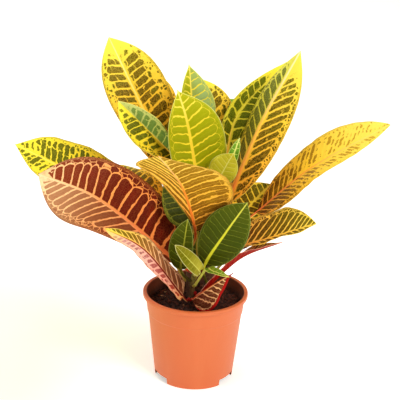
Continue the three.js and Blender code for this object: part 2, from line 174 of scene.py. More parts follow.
class Finish:
    """A material, and the nodes that make it."""

    def __init__(self, name, **constants):
        self.material = bpy.data.materials.new(name)
        self.material.use_nodes = True
        self.tree = self.material.node_tree
        self.shader = self.tree.nodes["Principled BSDF"]
        for socket, value in constants.items():
            self.shader.inputs[socket.replace("_", " ")].default_value = value

    def node(self, kind, settings=None, inputs=None, out=None):
        """Adds a node: its settings first, then the values or links of its sockets."""
        node = self.tree.nodes.new(kind)
        for name, value in (settings or {}).items():
            if name == "stops":
                self.set_stops(node.color_ramp, value)
            else:
                setattr(node, name, value)
        for key, value in (inputs or {}).items():
            self.feed(node.inputs[key], value)
        return node if out is None else Wire(self, node.outputs[out])

    def feed(self, socket, value):
        """Gives a socket a link or a value."""
        if isinstance(value, Wire):
            self.tree.links.new(value.socket, socket)
        else:
            socket.default_value = value

    @staticmethod
    def set_stops(ramp, stops):
        while len(ramp.elements) < len(stops):
            ramp.elements.new(1.0)
        for element, (position, colour) in zip(ramp.elements, stops):
            element.position = position
            element.color = colour

    def attribute(self, name, out="Vector"):
        """What the mesh keeps under a name: a vector, or a number where out is Fac."""
        return self.node("ShaderNodeAttribute", {"attribute_name": name}, out=out)

    def parts(self, vector):
        node = self.node("ShaderNodeSeparateXYZ", None, {0: vector})
        return [Wire(self, output) for output in node.outputs]

    def vector(self, x, y, z=0.0):
        return self.node("ShaderNodeCombineXYZ", None, {0: x, 1: y, 2: z}, out="Vector")

    def place(self):
        return self.node("ShaderNodeTexCoord", out="Object")

    def stretched(self, where, height_scale):
        """Places with their heights scaled, which draws a cloud out upright."""
        return self.node("ShaderNodeMapping", None, {0: where, 3: (1, 1, height_scale)}, out=0)

    def cloud(self, where, scale, detail=2.0, roughness=0.5):
        """Noise from about 0 to 1, in patches of about 1/scale."""
        inputs = {"Vector": where, "Scale": scale, "Detail": detail, "Roughness": roughness}
        return self.node("ShaderNodeTexNoise", None, inputs, out=0)

    def cell_edge(self, where):
        """The distance to the edge of the irregular cell that a place is in. Cells are about 1 across."""
        return self.node("ShaderNodeTexVoronoi", {"feature": "DISTANCE_TO_EDGE"},
                         {"Vector": where, "Scale": 1.0}, out="Distance")

    def chance_of_cell(self, where):
        """A random share for each of those cells."""
        colour = self.node("ShaderNodeTexVoronoi", None, {"Vector": where, "Scale": 1.0}, out="Color")
        return self.parts(colour)[0]

    def chance(self, where):
        """A random share, the same wherever the vector is."""
        return self.node("ShaderNodeTexWhiteNoise", None, {"Vector": where}, out="Value")

    def blend_least(self, a, b, reach):
        """The lesser of two values, rounded off where they are closer than reach."""
        return self.node("ShaderNodeMath", {"operation": "SMOOTH_MIN"}, {0: a, 1: b, 2: reach}, out="Value")

    def mix(self, share, a, b):
        """Colour a, turning into colour b as share goes from 0 to 1."""
        return self.node("ShaderNodeMix", {"data_type": "RGBA"}, {"Factor": share, 6: a, 7: b}, out=2)

    def ramp(self, value, *stops):
        return self.node("ShaderNodeValToRGB", {"stops": stops}, {"Fac": value}, out="Color")

    def bump(self, height, distance, strength):
        inputs = {"Height": height, "Distance": distance, "Strength": strength}
        return self.node("ShaderNodeBump", None, inputs, out="Normal")

    def set(self, **links):
        for name, value in links.items():
            self.feed(self.shader.inputs[name.replace("_", " ")], value)
        return self.material


# Meshes

def mesh_piece(name, points, faces, material, replaced, attributes=None, smooth=True):
    """A piece of the plant, from points in millimetres, in place of a node of the part."""
    mesh = bpy.data.meshes.new(name)
    mesh.from_pydata((np.asarray(points) * MM).tolist(), [], faces)
    mesh.update()
    for key, values in (attributes or {}).items():
        kind, field = ("FLOAT_VECTOR", "vector") if values.ndim > 1 else ("FLOAT", "value")
        layer = mesh.attributes.new(key, kind, "POINT")
        layer.data.foreach_set(field, values.astype(np.float32).ravel())
    mesh.polygons.foreach_set("use_smooth", [smooth] * len(mesh.polygons))
    mesh.materials.append(material)
    piece = bpy.data.objects.new(name, mesh)
    bpy.context.scene.collection.objects.link(piece)
    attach(piece, "root")
    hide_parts(replaced)
    return piece


def skin_faces(rings, around):
    """Quads between rings of points that run the same way round, with a flat face at each end."""
    faces = []
    for row in range(0, (rings - 1) * around, around):
        for k in range(around):
            after = (k + 1) % around
            faces.append((row + k, row + after, row + around + after, row + around + k))
    last = (rings - 1) * around
    faces.append(tuple(reversed(range(around))))
    faces.append(tuple(last + k for k in range(around)))
    return faces


def unit(vectors):
    return vectors / np.linalg.norm(vectors, axis=-1, keepdims=True)


def blended(a, b, share):
    return a + (b - a) * share


def eased(value, low, high):
    """0 below low, 1 above high, and smooth between them."""
    t = np.clip((value - low) / (high - low), 0, 1)
    return t * t * (3 - 2 * t)


def turns(count):
    """Angles that are evenly spaced around a circle."""
    return 2 * np.pi * np.arange(count) / count


def curve_at(places, shares):
    """Points and directions on a smooth curve through places, at shares of the way along it."""
    knots = np.array(places, dtype=float)
    knots = np.vstack([2 * knots[0] - knots[1], knots, 2 * knots[-1] - knots[-2]])
    spans = len(places) - 1
    step = np.minimum((shares * spans).astype(int), spans - 1)
    within = (shares * spans - step)[:, None]
    before, start, end, after = (knots[step + k] for k in range(4))
    leave = (end - before) / 2
    arrive = (after - start) / 2
    bend = 3 * (end - start) - 2 * leave - arrive
    turn = 2 * (start - end) + leave + arrive
    points = start + within * (leave + within * (bend + within * turn))
    directions = leave + within * (2 * bend + 3 * within * turn)
    return points, unit(directions)


# Leaves: their shape

PETIOLE_ROWS = 14
BLADE_ROWS = 150
ACROSS_STEPS = 15
COLUMN_CROWDING = 1.3
FINE_BLADE = 0.62
MARGIN_BLADE = 0.34
RIB_BREADTH = 1.3
GROOVE = 0.25
GROOVE_PLACE = 2.6
GROOVE_BREADTH = 1.1
ROOT_REACH = 1.6
ROOT_SWELLING = 0.7
ROOT_SHARE = 0.75
NECK_SLIMNESS = 0.86
BLADE_START = 0.05
QUILT = 0.42
RIPPLE = 0.55
RIPPLE_RATE = 0.33
RIPPLE_BEAT = 0.05
LEAN_VARIATION = 0.08

# How the side veins stray: the height of each wave in vein spacings, and its turn in radians for each
# millimetre along the midrib and away from it.
VEIN_WAVES = [(0.16, 0.075, 0.0), (0.08, 0.19, 0.05), (0.03, 0.43, -0.15)]


def stem_radius(stem, share):
    return blended(*stem["radii"], share)


def leaf_root(leaf):
    """Where a leaf starts on its stem, and the way out from there."""
    stem = STEMS[leaf["stem"]]
    centre = curve_at(stem["path"], np.array([leaf["at"]]))[0][0]
    towards = unit(np.array(leaf["neck"]) - centre)
    outward = unit(towards * (1, 1, 0))
    reach = stem_radius(stem, leaf["at"]) + 2 * SOIL_CLEARANCE + PETIOLE_RADIUS * abs(towards[2])
    return centre + outward * reach, outward


def blade_outline(share, widest, taper):
    """Share of the half width that a blade has at a share of its length."""
    lean = math.log(0.5) / math.log(widest)
    wave = np.sin(np.pi * np.clip(share, 0, 1) ** lean)
    return np.clip(wave, 0, 1) ** taper * (1 - TIP_NARROWING * share ** TIP_SHARPNESS)


def pair(value):
    """A value for each half of a blade: one number is for both."""
    return value if isinstance(value, tuple) else (value, value)


class Blade:
    """The shape of a leaf, in rows from the root of its petiole to its tip, and in columns from its left
    margin to its right."""

    def __init__(self, leaf, look, draw):
        self.leaf = leaf
        self.look = look
        self.lay_rows()
        self.steps = np.arange(-ACROSS_STEPS, ACROSS_STEPS + 1) / ACROSS_STEPS
        self.across = np.sign(self.steps) * np.abs(self.steps) ** COLUMN_CROWDING
        self.out = np.abs(self.across)
        self.side = np.sign(self.across)
        self.hand = (self.side > 0).astype(int)
        taper = leaf.get("taper", TAPER)
        outlines = [blade_outline(self.share, widest, taper) for widest in pair(leaf["widest"])]
        self.outline = np.hstack(outlines)[:, self.hand]
        slimmest = blended(PETIOLE_RADIUS, TIP_HALF, self.share)
        self.width = np.maximum(slimmest, np.array(pair(leaf["half"]))[self.hand] * self.outline)
        self.lateral = self.width * self.out
        self.order = np.empty_like(self.lateral)
        for which in (0, 1):
            columns = self.hand == which
            self.order[:, columns] = self.vein_order(self.lateral[:, columns], which, draw)
        phase = draw.uniform(0, 2 * np.pi, 2)[self.hand]
        beat = np.sin(self.along * RIPPLE_RATE + phase) * np.sin(self.along * RIPPLE_BEAT + phase)
        self.ripple = RIPPLE * self.outline * eased(self.out, 0.6, 1) * beat
        self.own_depth = draw.uniform(0, 900)

    def lay_rows(self):
        """The midrib's points, with the normal and the right-hand side at each, and how far along it is."""
        leaf = self.leaf
        root, outward = leaf_root(leaf)
        petiole = 1 - np.arange(PETIOLE_ROWS) / PETIOLE_ROWS
        blade = np.arange(BLADE_ROWS + 1) / BLADE_ROWS
        share = np.concatenate([np.zeros(PETIOLE_ROWS), blade])[:, None]
        places = np.concatenate([(1 - petiole) / 3, (1 + 2 * blade) / 3])
        middle, along = curve_at([root, leaf["neck"], leaf["belly"], leaf["tip"]], places)
        face = np.array(leaf["face"], float)
        face = blended(face, np.array(leaf.get("turn", face)), share)
        normal = unit(face - along * np.sum(face * along, axis=1, keepdims=True))
        right = np.cross(along, normal)
        middle[0] -= outward * ROOT_REACH
        spans = np.linalg.norm(np.diff(middle[PETIOLE_ROWS:], axis=0), axis=1)
        self.share = share
        self.petiole = np.concatenate([petiole, np.zeros(BLADE_ROWS + 1)])[:, None]
        self.along = np.concatenate([np.zeros(PETIOLE_ROWS + 1), np.cumsum(spans)])[:, None]
        self.middle, self.normal, self.right = (line[:, None, :] for line in (middle, normal, right))

    def vein_order(self, lateral, which, draw):
        """How many side veins lie between the base and a point: whole numbers lie on a vein."""
        look = self.look
        phases = draw.uniform(0, 2 * np.pi, 4)
        lean = pair(look["lean"])[which] * (1 + draw.uniform(-LEAN_VARIATION, LEAN_VARIATION))
        start = self.along - lateral * lean + look["bow"] * lateral ** 2
        drift = sum(height * np.sin(start * rate + lateral * slant + phase)
                    for (height, rate, slant), phase in zip(VEIN_WAVES, phases))
        crowded = start * (1 + look["crowding"] * start / self.along.max())
        return crowded / pair(look["pitch"])[which] + drift * (0.5 + lateral / 40) + 0.5 * which

    def sheet(self):
        """The blade's middle surface, and the direction square to it."""
        leaf = self.leaf
        base_lift, tip_lift = (np.array(pair(lift), float)[self.hand]
                               for lift in (leaf["lift"], leaf.get("open", leaf["lift"])))
        lift = blended(base_lift, tip_lift, self.share)
        slope = np.radians(lift - leaf["curl"] * self.out / 2)
        height, number = leaf["wave"]
        wave = height * self.out ** 2 * self.outline * np.sin(2 * np.pi * number * self.share + self.side)
        aside = self.width * self.across * np.cos(slope)
        rise = self.lateral * np.sin(slope) + wave + self.ripple
        surface = self.middle + self.right * aside[..., None] + self.normal * rise[..., None]
        edge = np.radians(lift - leaf["curl"] * self.out) * np.abs(self.side)
        square = self.normal * np.cos(edge)[..., None] - self.right * (self.side * np.sin(edge))[..., None]
        return surface, square

    def blade_sides(self):
        """The upper and lower side: veins sunk between low swellings, and a midrib that stands out
        beneath and a little above. The sides meet at the margins."""
        surface, square = self.sheet()
        look, lateral = self.look, self.lateral
        inside = self.outline * eased(self.out, 0.04, 0.2) * (1 - eased(self.out, 0.75, 0.95))
        inside *= eased(self.share, 0, 0.06)
        swelling = QUILT * look["quilt"] * (np.sin(np.pi * self.order) ** 2 - 0.5) * inside
        thick = blended(FINE_BLADE, MARGIN_BLADE, eased(self.out, 0.7, 1)) / 2
        rib = RIB * np.exp(-(lateral / RIB_BREADTH) ** 2) * (1 - self.share)
        ridge_breadth = 0.55 * look["rib"] + 0.2
        ridge = look["ridge"] * np.exp(-(lateral / ridge_breadth) ** 2) * (1 - 0.7 * self.share)
        groove = GROOVE * np.exp(-((lateral - GROOVE_PLACE) / GROOVE_BREADTH) ** 2) * (1 - self.share)
        upper = surface + square * (thick + swelling + ridge - groove)[..., None]
        lower = surface - square * (thick - swelling + rib + 0.3 * ridge)[..., None]
        for margin in (0, -1):
            upper[:, margin] = (upper[:, margin] + lower[:, margin]) / 2
        return upper, lower

    def petiole_sides(self):
        """The upper and lower half of a round petiole, which swells at its root."""
        angle = np.pi / 2 * (1 - self.steps)
        swollen = 1 + ROOT_SWELLING * np.clip(self.petiole / ROOT_SHARE - 1, 0, 1)
        radius = PETIOLE_RADIUS * swollen * blended(NECK_SLIMNESS, 1, self.petiole)
        aside = self.middle + self.right * (np.cos(angle) * radius)[..., None]
        rise = self.normal * (np.sin(angle) * radius)[..., None]
        return aside + rise, aside - rise

    def rings(self):
        """A ring for each row, over the upper side from left to right and back beneath."""
        share = eased(self.share, 0, BLADE_START)[..., None]
        upper, lower = (blended(petiole, blade, share)
                        for petiole, blade in zip(self.petiole_sides(), self.blade_sides()))
        return np.concatenate([upper, lower[:, -2:0:-1]], axis=1)

    def both_sides(self, field):
        """A field of the blade, at each point of the rings."""
        field = np.broadcast_to(field, self.lateral.shape)
        return np.concatenate([field, field[:, -2:0:-1]], axis=1)

    def attributes(self):
        """What the skin needs to know: places along and across, the veins, and distances on the blade."""
        upper = self.both_sides(np.ones_like(self.lateral))
        upper[:, len(self.steps):] = 0
        upper[:, 0] = upper[:, len(self.steps) - 1] = 0.5
        fields = {
            "blade_place": (self.both_sides(self.share - self.petiole), self.both_sides(self.across), upper),
            "blade_veins": [self.both_sides(field) for field in (self.order, self.lateral, self.width)],
            "blade_spread": (self.both_sides(self.along), self.both_sides(self.width * self.across),
                             upper * 40 + self.own_depth)}
        return {name: np.stack(parts, axis=-1) for name, parts in fields.items()}


def leaf_piece(name, leaf, draw):
    tune = leaf.get("tune", {})
    look = LOOKS[leaf["look"]] | tune
    blade = Blade(leaf, look, draw)
    rings = blade.rings()
    return mesh_piece(name + "_blade", rings.reshape(-1, 3), skin_faces(*rings.shape[:2]),
                      leaf_skin(leaf["look"], tune, name), name, blade.attributes())


# Leaves: their skin

# How each kind of leaf is coloured. Lengths are in millimetres and run out from a vein; colours that come
# in rows run from a leaf's base to its tip. A pair of numbers is for the left half and the right half, and
# colours whose name ends in _left are the left half's own.
PLAIN_LOOK = dict(
    slot="leaf_yellow",
    # Side veins: their spacing, how it closes up towards the tip, their slant, bow and sway, the share of
    # the width at which they join in loops, the loops' share of a vein's breadth, and the spacing of the
    # cross veins.
    pitch=12, crowding=0.3, lean=0.5, bow=0.004, sway=0.25, loop=0.84, loop_share=0.5, cell=16,
    # Half breadths of midrib and side veins, heights of the midrib's ridge and of the swellings between
    # veins, strength of the fine relief, roughness and gloss.
    rib=1.9, vein=0.9, ridge=0.25, quilt=1.0, relief=0.5, rough=0.45, gloss=0.05,
    # How far the veins' colour floods out: everywhere, by patches, by the chance of each cell and from
    # tip_start to the tip; how much less it does near the base, the cross veins and the midrib; how
    # ragged its edge is, finely and coarsely; and how far the veins fade in places.
    spread=0.9, patch=0.8, chance=0.8, tip_flood=0.0, tip_start=0.6, base_ebb=0.0,
    cross_ebb=0.8, rib_hold=0.7, speckle=1.2, wobble=2.4, fade=0.0,
    # The net outside the loops, and the strength of cross veins, fine mesh and lines between side veins.
    net=0.9, net_size=4.6, net_vein=0.3, net_spread=0.6, net_chance=0.8, margin_hold=0.6,
    cross=0.4, mesh=0.12, middle=0.1,
    # Colours, and how strongly the blush, the margin and the underside show.
    veins=("f0a03c", "ffd84a", "fff064"), ground=("3c2a08", "4a4210", "6c6420"), mottle="6e6418",
    blush=0.0, blush_colour="f0a03c", midrib=("f08c3c", "ffd85a", "fff6a0"),
    hem=0.0, rim=0.9, edge="ffe878", under="c8a850", under_share=0.35, petiole="b8a040",
)
GREEN_LOOK = PLAIN_LOOK | dict(
    slot="leaf_green", patch=0.1, chance=0.0, speckle=0.2, wobble=0.2, net_spread=0.0, net_chance=0.0)

LOOKS = {
    # Yellow, with dark blotches in rows between the veins.
    "sunny": PLAIN_LOOK | dict(
        pitch=14, loop=0.76, rib=2.2, vein=1.1, quilt=1.3,
        spread=1.2, patch=1.0, chance=1.0, tip_flood=6.0, tip_start=0.8, speckle=1.7, wobble=3.2,
        net_size=3.8, net_spread=0.75, net_chance=1.1, mesh=0.25,
        veins=("f08c28", "fac332", "fff050"), ground=("3c2303", "503c08", "7a640f"), mottle="465f08"),
    "spotted": PLAIN_LOOK | dict(
        cell=24, rib=1.4, vein=0.8,
        spread=1.2, patch=1.8, chance=1.3, tip_flood=2.5, speckle=1.6, wobble=3.2,
        net_size=3.8, net_spread=0.7,
        veins=("f0b428", "f5d72d", "faeb41"), ground=("323205", "465008", "69690f"), mottle="646e0a",
        midrib=("f0a03c", "ffdc50", "fff078"), edge="fff078"),
    "golden": PLAIN_LOOK | dict(
        loop=0.8, cell=26, rib=3.0, vein=1.2, quilt=1.3,
        spread=1.2, tip_flood=5.0, tip_start=0.75, speckle=1.5, wobble=3.0,
        net_spread=0.5, net_chance=0.7, mesh=0.25,
        veins=("f5962d", "fac837", "fae150"), ground=("3c2303", "463c05", "70600f"), mottle="465a08",
        midrib=("f06428", "ffc850", "fffab4"), edge="ffe65a"),
    "pale_gold": PLAIN_LOOK | dict(
        pitch=9, lean=0.9, sway=0.5, cell=9, rib=1.8, vein=0.8,
        spread=2.0, patch=2.4, chance=1.3, base_ebb=4.2, speckle=3.2, wobble=4.5,
        net_size=3.4, net_spread=1.4, net_chance=1.3,
        veins=("f59632", "fac832", "ffe65f"),
        ground=("371703", "73490a", "b4871c", "cda02d"), mottle="a5821a",
        midrib=("f5783c", "faa53c", "ffeb82"), edge="ffeb5f"),

    # Green or dark olive, with yellow or pale green veins.
    "lime": GREEN_LOOK | dict(
        pitch=15, sway=0.35, loop_share=0.15, rib=2.2, vein=1.1, quilt=1.3, spread=0.2,
        net=0.2, net_size=7, cross=0.06, mesh=0.04,
        veins=("ebd228", "f5dc32", "fae65a"), ground=("7b8205", "9ea308", "b4b20f"), mottle="a0a30a",
        midrib=("f5cd2d", "f5d73c", "faf082"), hem=0.3, edge="fafa82", under="b4be50", petiole="c8b446"),
    "fresh": GREEN_LOOK | dict(
        pitch=11, rib=1.6, vein=0.5, spread=0.1, net=0.3, cross=0.1, mesh=0.06,
        veins=("c8d250", "d2dc64", "f0f58c"), ground=("416e14", "5f961e", "82aa32"), mottle="5a8c1e",
        midrib=("dcdc50", "ebeb6e", "faffa0"), edge="dce678", under="96af46", petiole="a0b446"),
    "young": GREEN_LOOK | dict(
        pitch=8, loop_share=0.2, rib=1.0, vein=0.3, ridge=0.15, quilt=0.5, spread=0.0, fade=0.3,
        net=0.1, cross=0.05, mesh=0.05,
        veins=("c3be46", "d2c850", "dcd764"), ground=("96961e", "b4af23", "c3b92d"), mottle="96961e",
        midrib=("c8c85a", "d7d764", "dcdc78"), edge="d7d76e", under="a0a537", petiole="bebe50"),
    "deep": PLAIN_LOOK | dict(
        slot="leaf_dark", pitch=15, cell=20, rib=1.5, patch=1.2, tip_flood=4.0, tip_start=0.75,
        net_size=5.5, net_spread=1.0,
        veins=("c8aa28", "dccd32", "fff046"), ground=("3c3c03", "4b5505", "64730a"), mottle="5a690a",
        midrib=("e6a03c", "e6d246", "ffeb5a"), edge="e6e150", under="64823c", petiole="c89632"),
    "bottle": GREEN_LOOK | dict(
        slot="leaf_dark", pitch=11, loop=0.92, loop_share=0.0, vein=0.25, quilt=0.9, spread=0.0, fade=0.7,
        net=0.0, cross=0.0, mesh=0.04,
        veins=("788219", "828c28", "969b37"), ground=("323302", "3c4602", "505a0a"), mottle="374802",
        midrib=("c8c328", "d2cd32", "dcd750"), hem=0.1, edge="96a550", under="50732d", petiole="696e1e"),
    "moss": PLAIN_LOOK | dict(
        slot="leaf_dark", pitch=10, rib=1.3, vein=0.6, spread=0.7, patch=1.2,
        veins=("f0a037", "f5c832", "f5d23c"), ground=("46280a", "503c08", "55550c"), mottle="5f640f",
        midrib=("e6963c", "ebc83c", "f0dc50"), edge="e6d250", under="826e28"),
    "olive": PLAIN_LOOK | dict(
        slot="leaf_dark", pitch=11, lean=1.1, sway=0.35, cell=40, rib=1.5, vein=0.85,
        spread=0.3, patch=0.4, chance=0.2, wobble=1.8, net=0.6, net_spread=0.3, cross=0.15,
        veins=("f5a046", "ffc341", "ffdc50"), ground=("501e05", "553705", "645a0a"), mottle="645a0a",
        midrib=("f08c3c", "ffb43c", "ffd750"), edge="ffd74b", under="966e28"),
    # Nearly black olive for the leaves deep inside the plant: partly their own dark green, partly painted
    # shade.
    "dim": PLAIN_LOOK | dict(
        slot="leaf_dark", pitch=11, rib=1.2, vein=0.5, spread=0.2, patch=0.3, chance=0.2,
        veins=("5f5a14", "6e6e1e", "8c8228"), ground=("232808", "2d320a", "37410c"), mottle="37460c",
        midrib=("a0641e", "a08228", "a89a32"), edge="6e6e23", under="64501e"),

    # Red and brown, with orange or pink veins.
    "crimson": PLAIN_LOOK | dict(
        slot="leaf_red", pitch=17, crowding=0.8, lean=0.45, loop=0.8, loop_share=0.6, cell=60,
        vein=2.0, ridge=0.3, quilt=1.3, gloss=0.06,
        spread=0.3, patch=0.3, chance=0.2, tip_flood=4.0, tip_start=0.87, speckle=0.6, wobble=0.8,
        net=1.0, net_size=7, net_vein=0.25, net_spread=0.1, net_chance=0.2, cross=0.12, mesh=0.08,
        veins=("eb7832", "fa9f50", "fad296"), ground=("410300", "5f0e02", "8c320f"), mottle="7d1202",
        blush=0.5, blush_colour="b42d14", midrib=("e6642d", "fa9b5a", "ffe1aa"), rim=0.5, edge="c84b23",
        under="a05037", petiole="a03219"),
    "rose": PLAIN_LOOK | dict(
        slot="leaf_red", pitch=(24, 20), crowding=0.9, lean=(0.6, 1.5), cell=40, rib=2.0, vein=(1.8, 1.2),
        spread=(1.3, 0.5), patch=0.5, chance=0.4, tip_flood=0.6, tip_start=0.55, speckle=0.9,
        net=0.5, cross=0.1,
        veins_left=("fab464", "f5a58c", "fabeaa", "fac3a5", "ffdc64"),
        veins=("f0aa78", "f0b487", "fac85a", "fae150"),
        ground_left=("c81e0a", "a5281e", "c3736e", "d2918c", "b99b28"),
        ground=("6e1e0a", "a55f37", "82600f", "5f640a"), mottle="5f3210",
        midrib=("78100a", "82100a", "96280f", "f0c83c"), edge="f0af6e", under="be6e50", petiole="8c1e14"),
    "umber": PLAIN_LOOK | dict(
        slot="leaf_red", lean=1.0, sway=0.7, cell=30, rib=1.1, vein=0.8,
        spread=0.2, patch=0.3, chance=0.2, speckle=0.7, wobble=1.0, fade=0.3, net=0.4, net_spread=0.3,
        veins=("e18c5f", "f0b478", "ffdc9b"), ground=("460a03", "5a1c08", "6e280a"), mottle="552d0f",
        midrib=("b43c1e", "c85a28", "dc8246"), edge="b4503c", under="8c4b28", petiole="7d1e14"),
    "scarlet": PLAIN_LOOK | dict(
        slot="leaf_red", pitch=9, lean=1.2, rib=1.2, vein=0.6,
        spread=0.8, patch=0.6, chance=0.4, speckle=0.6, net=0.4,
        veins=("d25a32", "eb8c37", "f5c846"), ground=("64080a", "78320a", "5a5a0f"), mottle="8c320f",
        midrib=("b41e19", "dc5a32", "f0a050"), edge="e66450", under="960c08", under_share=0.95,
        petiole="96140f"),

    # Seen from beneath: amber, with veins that stand out.
    "amber": PLAIN_LOOK | dict(
        pitch=(15, 21), crowding=0.2, lean=(0.65, 2.0), sway=0.4, loop=0.93, cell=24,
        vein=(0.95, 1.8), quilt=0.7, relief=0.9,
        spread=(0.7, 0.2), patch=(1.7, 0.3), chance=(1.0, 0.1), cross_ebb=1.6, rib_hold=1.2, speckle=0.9,
        wobble=(2.4, 0.3), net=0.6, net_spread=1.2, cross=0.35, mesh=0.1, middle=(0.5, 0.0),
        veins_left=("f09632", "fabe3c", "ffd764"), veins=("fa9b37", "ffc34b", "ffd75a"),
        ground_left=("643705", "8c5f05", "a0780f"), ground=("6e3705", "82550a", "9b780f"), mottle="a0780a",
        midrib=("d75a1e", "fa9632", "ffdc96"), edge="faa53c", under="f5aa41", under_share=0.0,
        petiole="cd8c3c"),
}

# The share of the length at which the flood at the tip is full; the half widths up to which a blade has
# no loops and from which it has whole ones; how far the loops dip at each vein, as a share of the width;
# the size of the fine mesh's cells; and the depth of the bump, in metres.
TIP_END = 0.97
LOOPLESS_WIDTH = 6
LOOPED_WIDTH = 12
SCALLOP_DIP = 0.11
MESH_LENGTH = 2.4
MESH_WIDTH = 2.6
VEIN_BUMP = 0.0005
SKINS = {}


def gradient(colours):
    """Even ramp stops from a leaf's base to its tip."""
    return [(i / (len(colours) - 1), shade(colour)) for i, colour in enumerate(colours)]


def row_half(look):
    """Half the width of the rows between the side veins, square to the veins, for each half."""
    halves = zip(pair(look["pitch"]), pair(look["lean"]))
    return tuple(0.5 * pitch / math.hypot(1, lean) for pitch, lean in halves)


class BladeSkin(Finish):
    """A glossy blade: midrib, side veins with their loops, a net at the margin, and the ground between."""

    def __init__(self, name, look):
        super().__init__(name, Specular_IOR_Level=look["gloss"])
        self.look = look
        self.share, self.across, self.upper = self.parts(self.attribute("blade_place"))
        self.order, self.lateral, self.width = self.parts(self.attribute("blade_veins"))
        spot = self.attribute("blade_spread")
        self.along, self.sideways, self.depth = self.parts(spot)
        self.out = abs(self.across)
        self.hand = rises(self.across, -0.01, 0.01)
        self.whole = clamped(self.share)
        self.grain = self.cloud(spot, 0.8, 3.0) - 0.5
        self.lumps = self.cloud(spot, 0.28) - 0.5
        self.fine = self.cloud(spot, 2.4) - 0.5
        self.patches = self.cloud(spot, 0.06) - 0.5
        self.strays = self.cloud(spot, 0.16, 1.0) - 0.5
        self.part_rows()
        self.measure_gaps()
        self.draw_lines()
        self.flood_veins()

    def halves(self, value):
        """A number, or the one of a pair that belongs to the half."""
        if isinstance(value, tuple):
            return value[0] + (value[1] - value[0]) * self.hand
        return value

    def row_of_colours(self, key):
        """Colours from base to tip. The left half may have a row of its own."""
        row = self.ramp(self.whole, *gradient(self.look[key]))
        if key + "_left" in self.look:
            left_row = self.ramp(self.whole, *gradient(self.look[key + "_left"]))
            row = self.mix(self.hand, left_row, row)
        return row

    def part_rows(self):
        """Cells between the veins: rows run out from the midrib, and cross veins part each row."""
        cell = self.halves(self.look["cell"])
        bent = self.order + self.look["sway"] * self.strays
        row = whole_part(bent)
        shift = self.chance(self.vector(row, self.hand, self.depth))
        crossing = self.lateral / cell + 7 * shift + 0.5 * self.strays
        self.luck = self.chance(self.vector(row, whole_part(crossing), self.hand + self.depth)) - 0.5
        self.between = 2 * to_nearest(bent)
        self.cross_gap = to_nearest(crossing) * cell

    def measure_gaps(self):
        """Distances to the veins, in millimetres, and what lies inside their loops."""
        scallop = self.look["loop"] - SCALLOP_DIP * (1 - self.between) ** 2 + 0.06 * self.strays
        self.inner = falls(self.out - scallop, -0.01, 0.02)
        narrow = falls(self.width, LOOPLESS_WIDTH, LOOPED_WIDTH)
        self.rib_gap = self.lateral - self.look["rib"] * (1 - 0.75 * self.share)
        self.row_half = self.halves(row_half(self.look))
        self.side_gap = self.between * self.row_half
        self.loop_gap = abs(self.out - scallop) * self.width + 3 * narrow
        self.margin_gap = (1 - self.out) * self.width
        size = self.look["net_size"]
        net_place = self.vector(self.along / size + 0.4 * self.strays, self.sideways / size, self.depth)
        self.net_gap = self.cell_edge(net_place) * size
        self.net_luck = self.chance_of_cell(net_place) - 0.5

    def draw_lines(self):
        """How strongly each vein shows."""
        look, grain, inner = self.look, self.grain, self.inner
        vein = self.halves(look["vein"]) * (1.25 - 0.6 * self.out) + 0.35 * grain
        middle_gap = (1 - self.between) * self.row_half + 0.4 * grain
        mesh_place = self.vector(self.order * (self.halves(look["pitch"]) / MESH_LENGTH),
                                 self.sideways / MESH_WIDTH, self.depth)
        side_line = falls(self.side_gap - vein, -0.25, 0.3) * inner
        loop_line = falls(self.loop_gap - look["loop_share"] * vein, -0.15, 0.35)
        net_line = falls(self.net_gap + 0.3 * grain - look["net_vein"], -0.15, 0.25) * (1 - inner)
        cross_line = falls(self.cross_gap + 0.4 * grain, 0.1, 0.55) * inner
        mesh_line = falls(self.cell_edge(mesh_place) * MESH_LENGTH, 0.08, 0.4)
        middle_line = falls(middle_gap, 0.15, 0.5) * inner
        lines = most(side_line, loop_line, net_line * look["net"], cross_line * look["cross"],
                     mesh_line * look["mesh"], middle_line * self.halves(look["middle"]))
        self.lines = lines * (1 - look["fade"] * rises(self.lumps + self.patches, -0.15, 0.15))
        self.rib_line = falls(self.rib_gap + 0.3 * grain, -0.35, 0.3)

    def flood_veins(self):
        """The vein colour floods out from the veins, and leaves blotches of ground between them."""
        look = self.look
        tip = look["tip_flood"] * rises(self.share, look["tip_start"], TIP_END)
        base = look["base_ebb"] * falls(self.share, 0.05, 0.55)
        extra = self.halves(look["patch"]) * 2 * self.patches + tip - base
        ragged = look["speckle"] * (self.grain + 0.5 * self.fine) + self.halves(look["wobble"]) * self.lumps
        luck = self.halves(look["chance"]) * 2 * self.luck
        gap = self.blend_least(self.side_gap, self.cross_gap + look["cross_ebb"], 2.0)
        gap = self.blend_least(gap, self.rib_gap * look["rib_hold"], 1.2)
        gap = self.blend_least(gap, self.loop_gap, 1.2)
        inner_dark = rises(gap + ragged - self.halves(look["spread"]) - extra - luck, -0.3, 0.5)
        net_luck = look["net_chance"] * 2 * self.net_luck
        net_gap = self.blend_least(self.net_gap, self.margin_gap * look["margin_hold"], 0.8)
        net_spread = self.halves(look["net_spread"]) + 0.4 * extra
        outer_dark = rises(net_gap + 0.4 * ragged - net_spread - net_luck, -0.2, 0.3)
        dark = self.inner * inner_dark + (1 - self.inner) * outer_dark
        self.painted = most(clamped(1 - dark), self.lines)

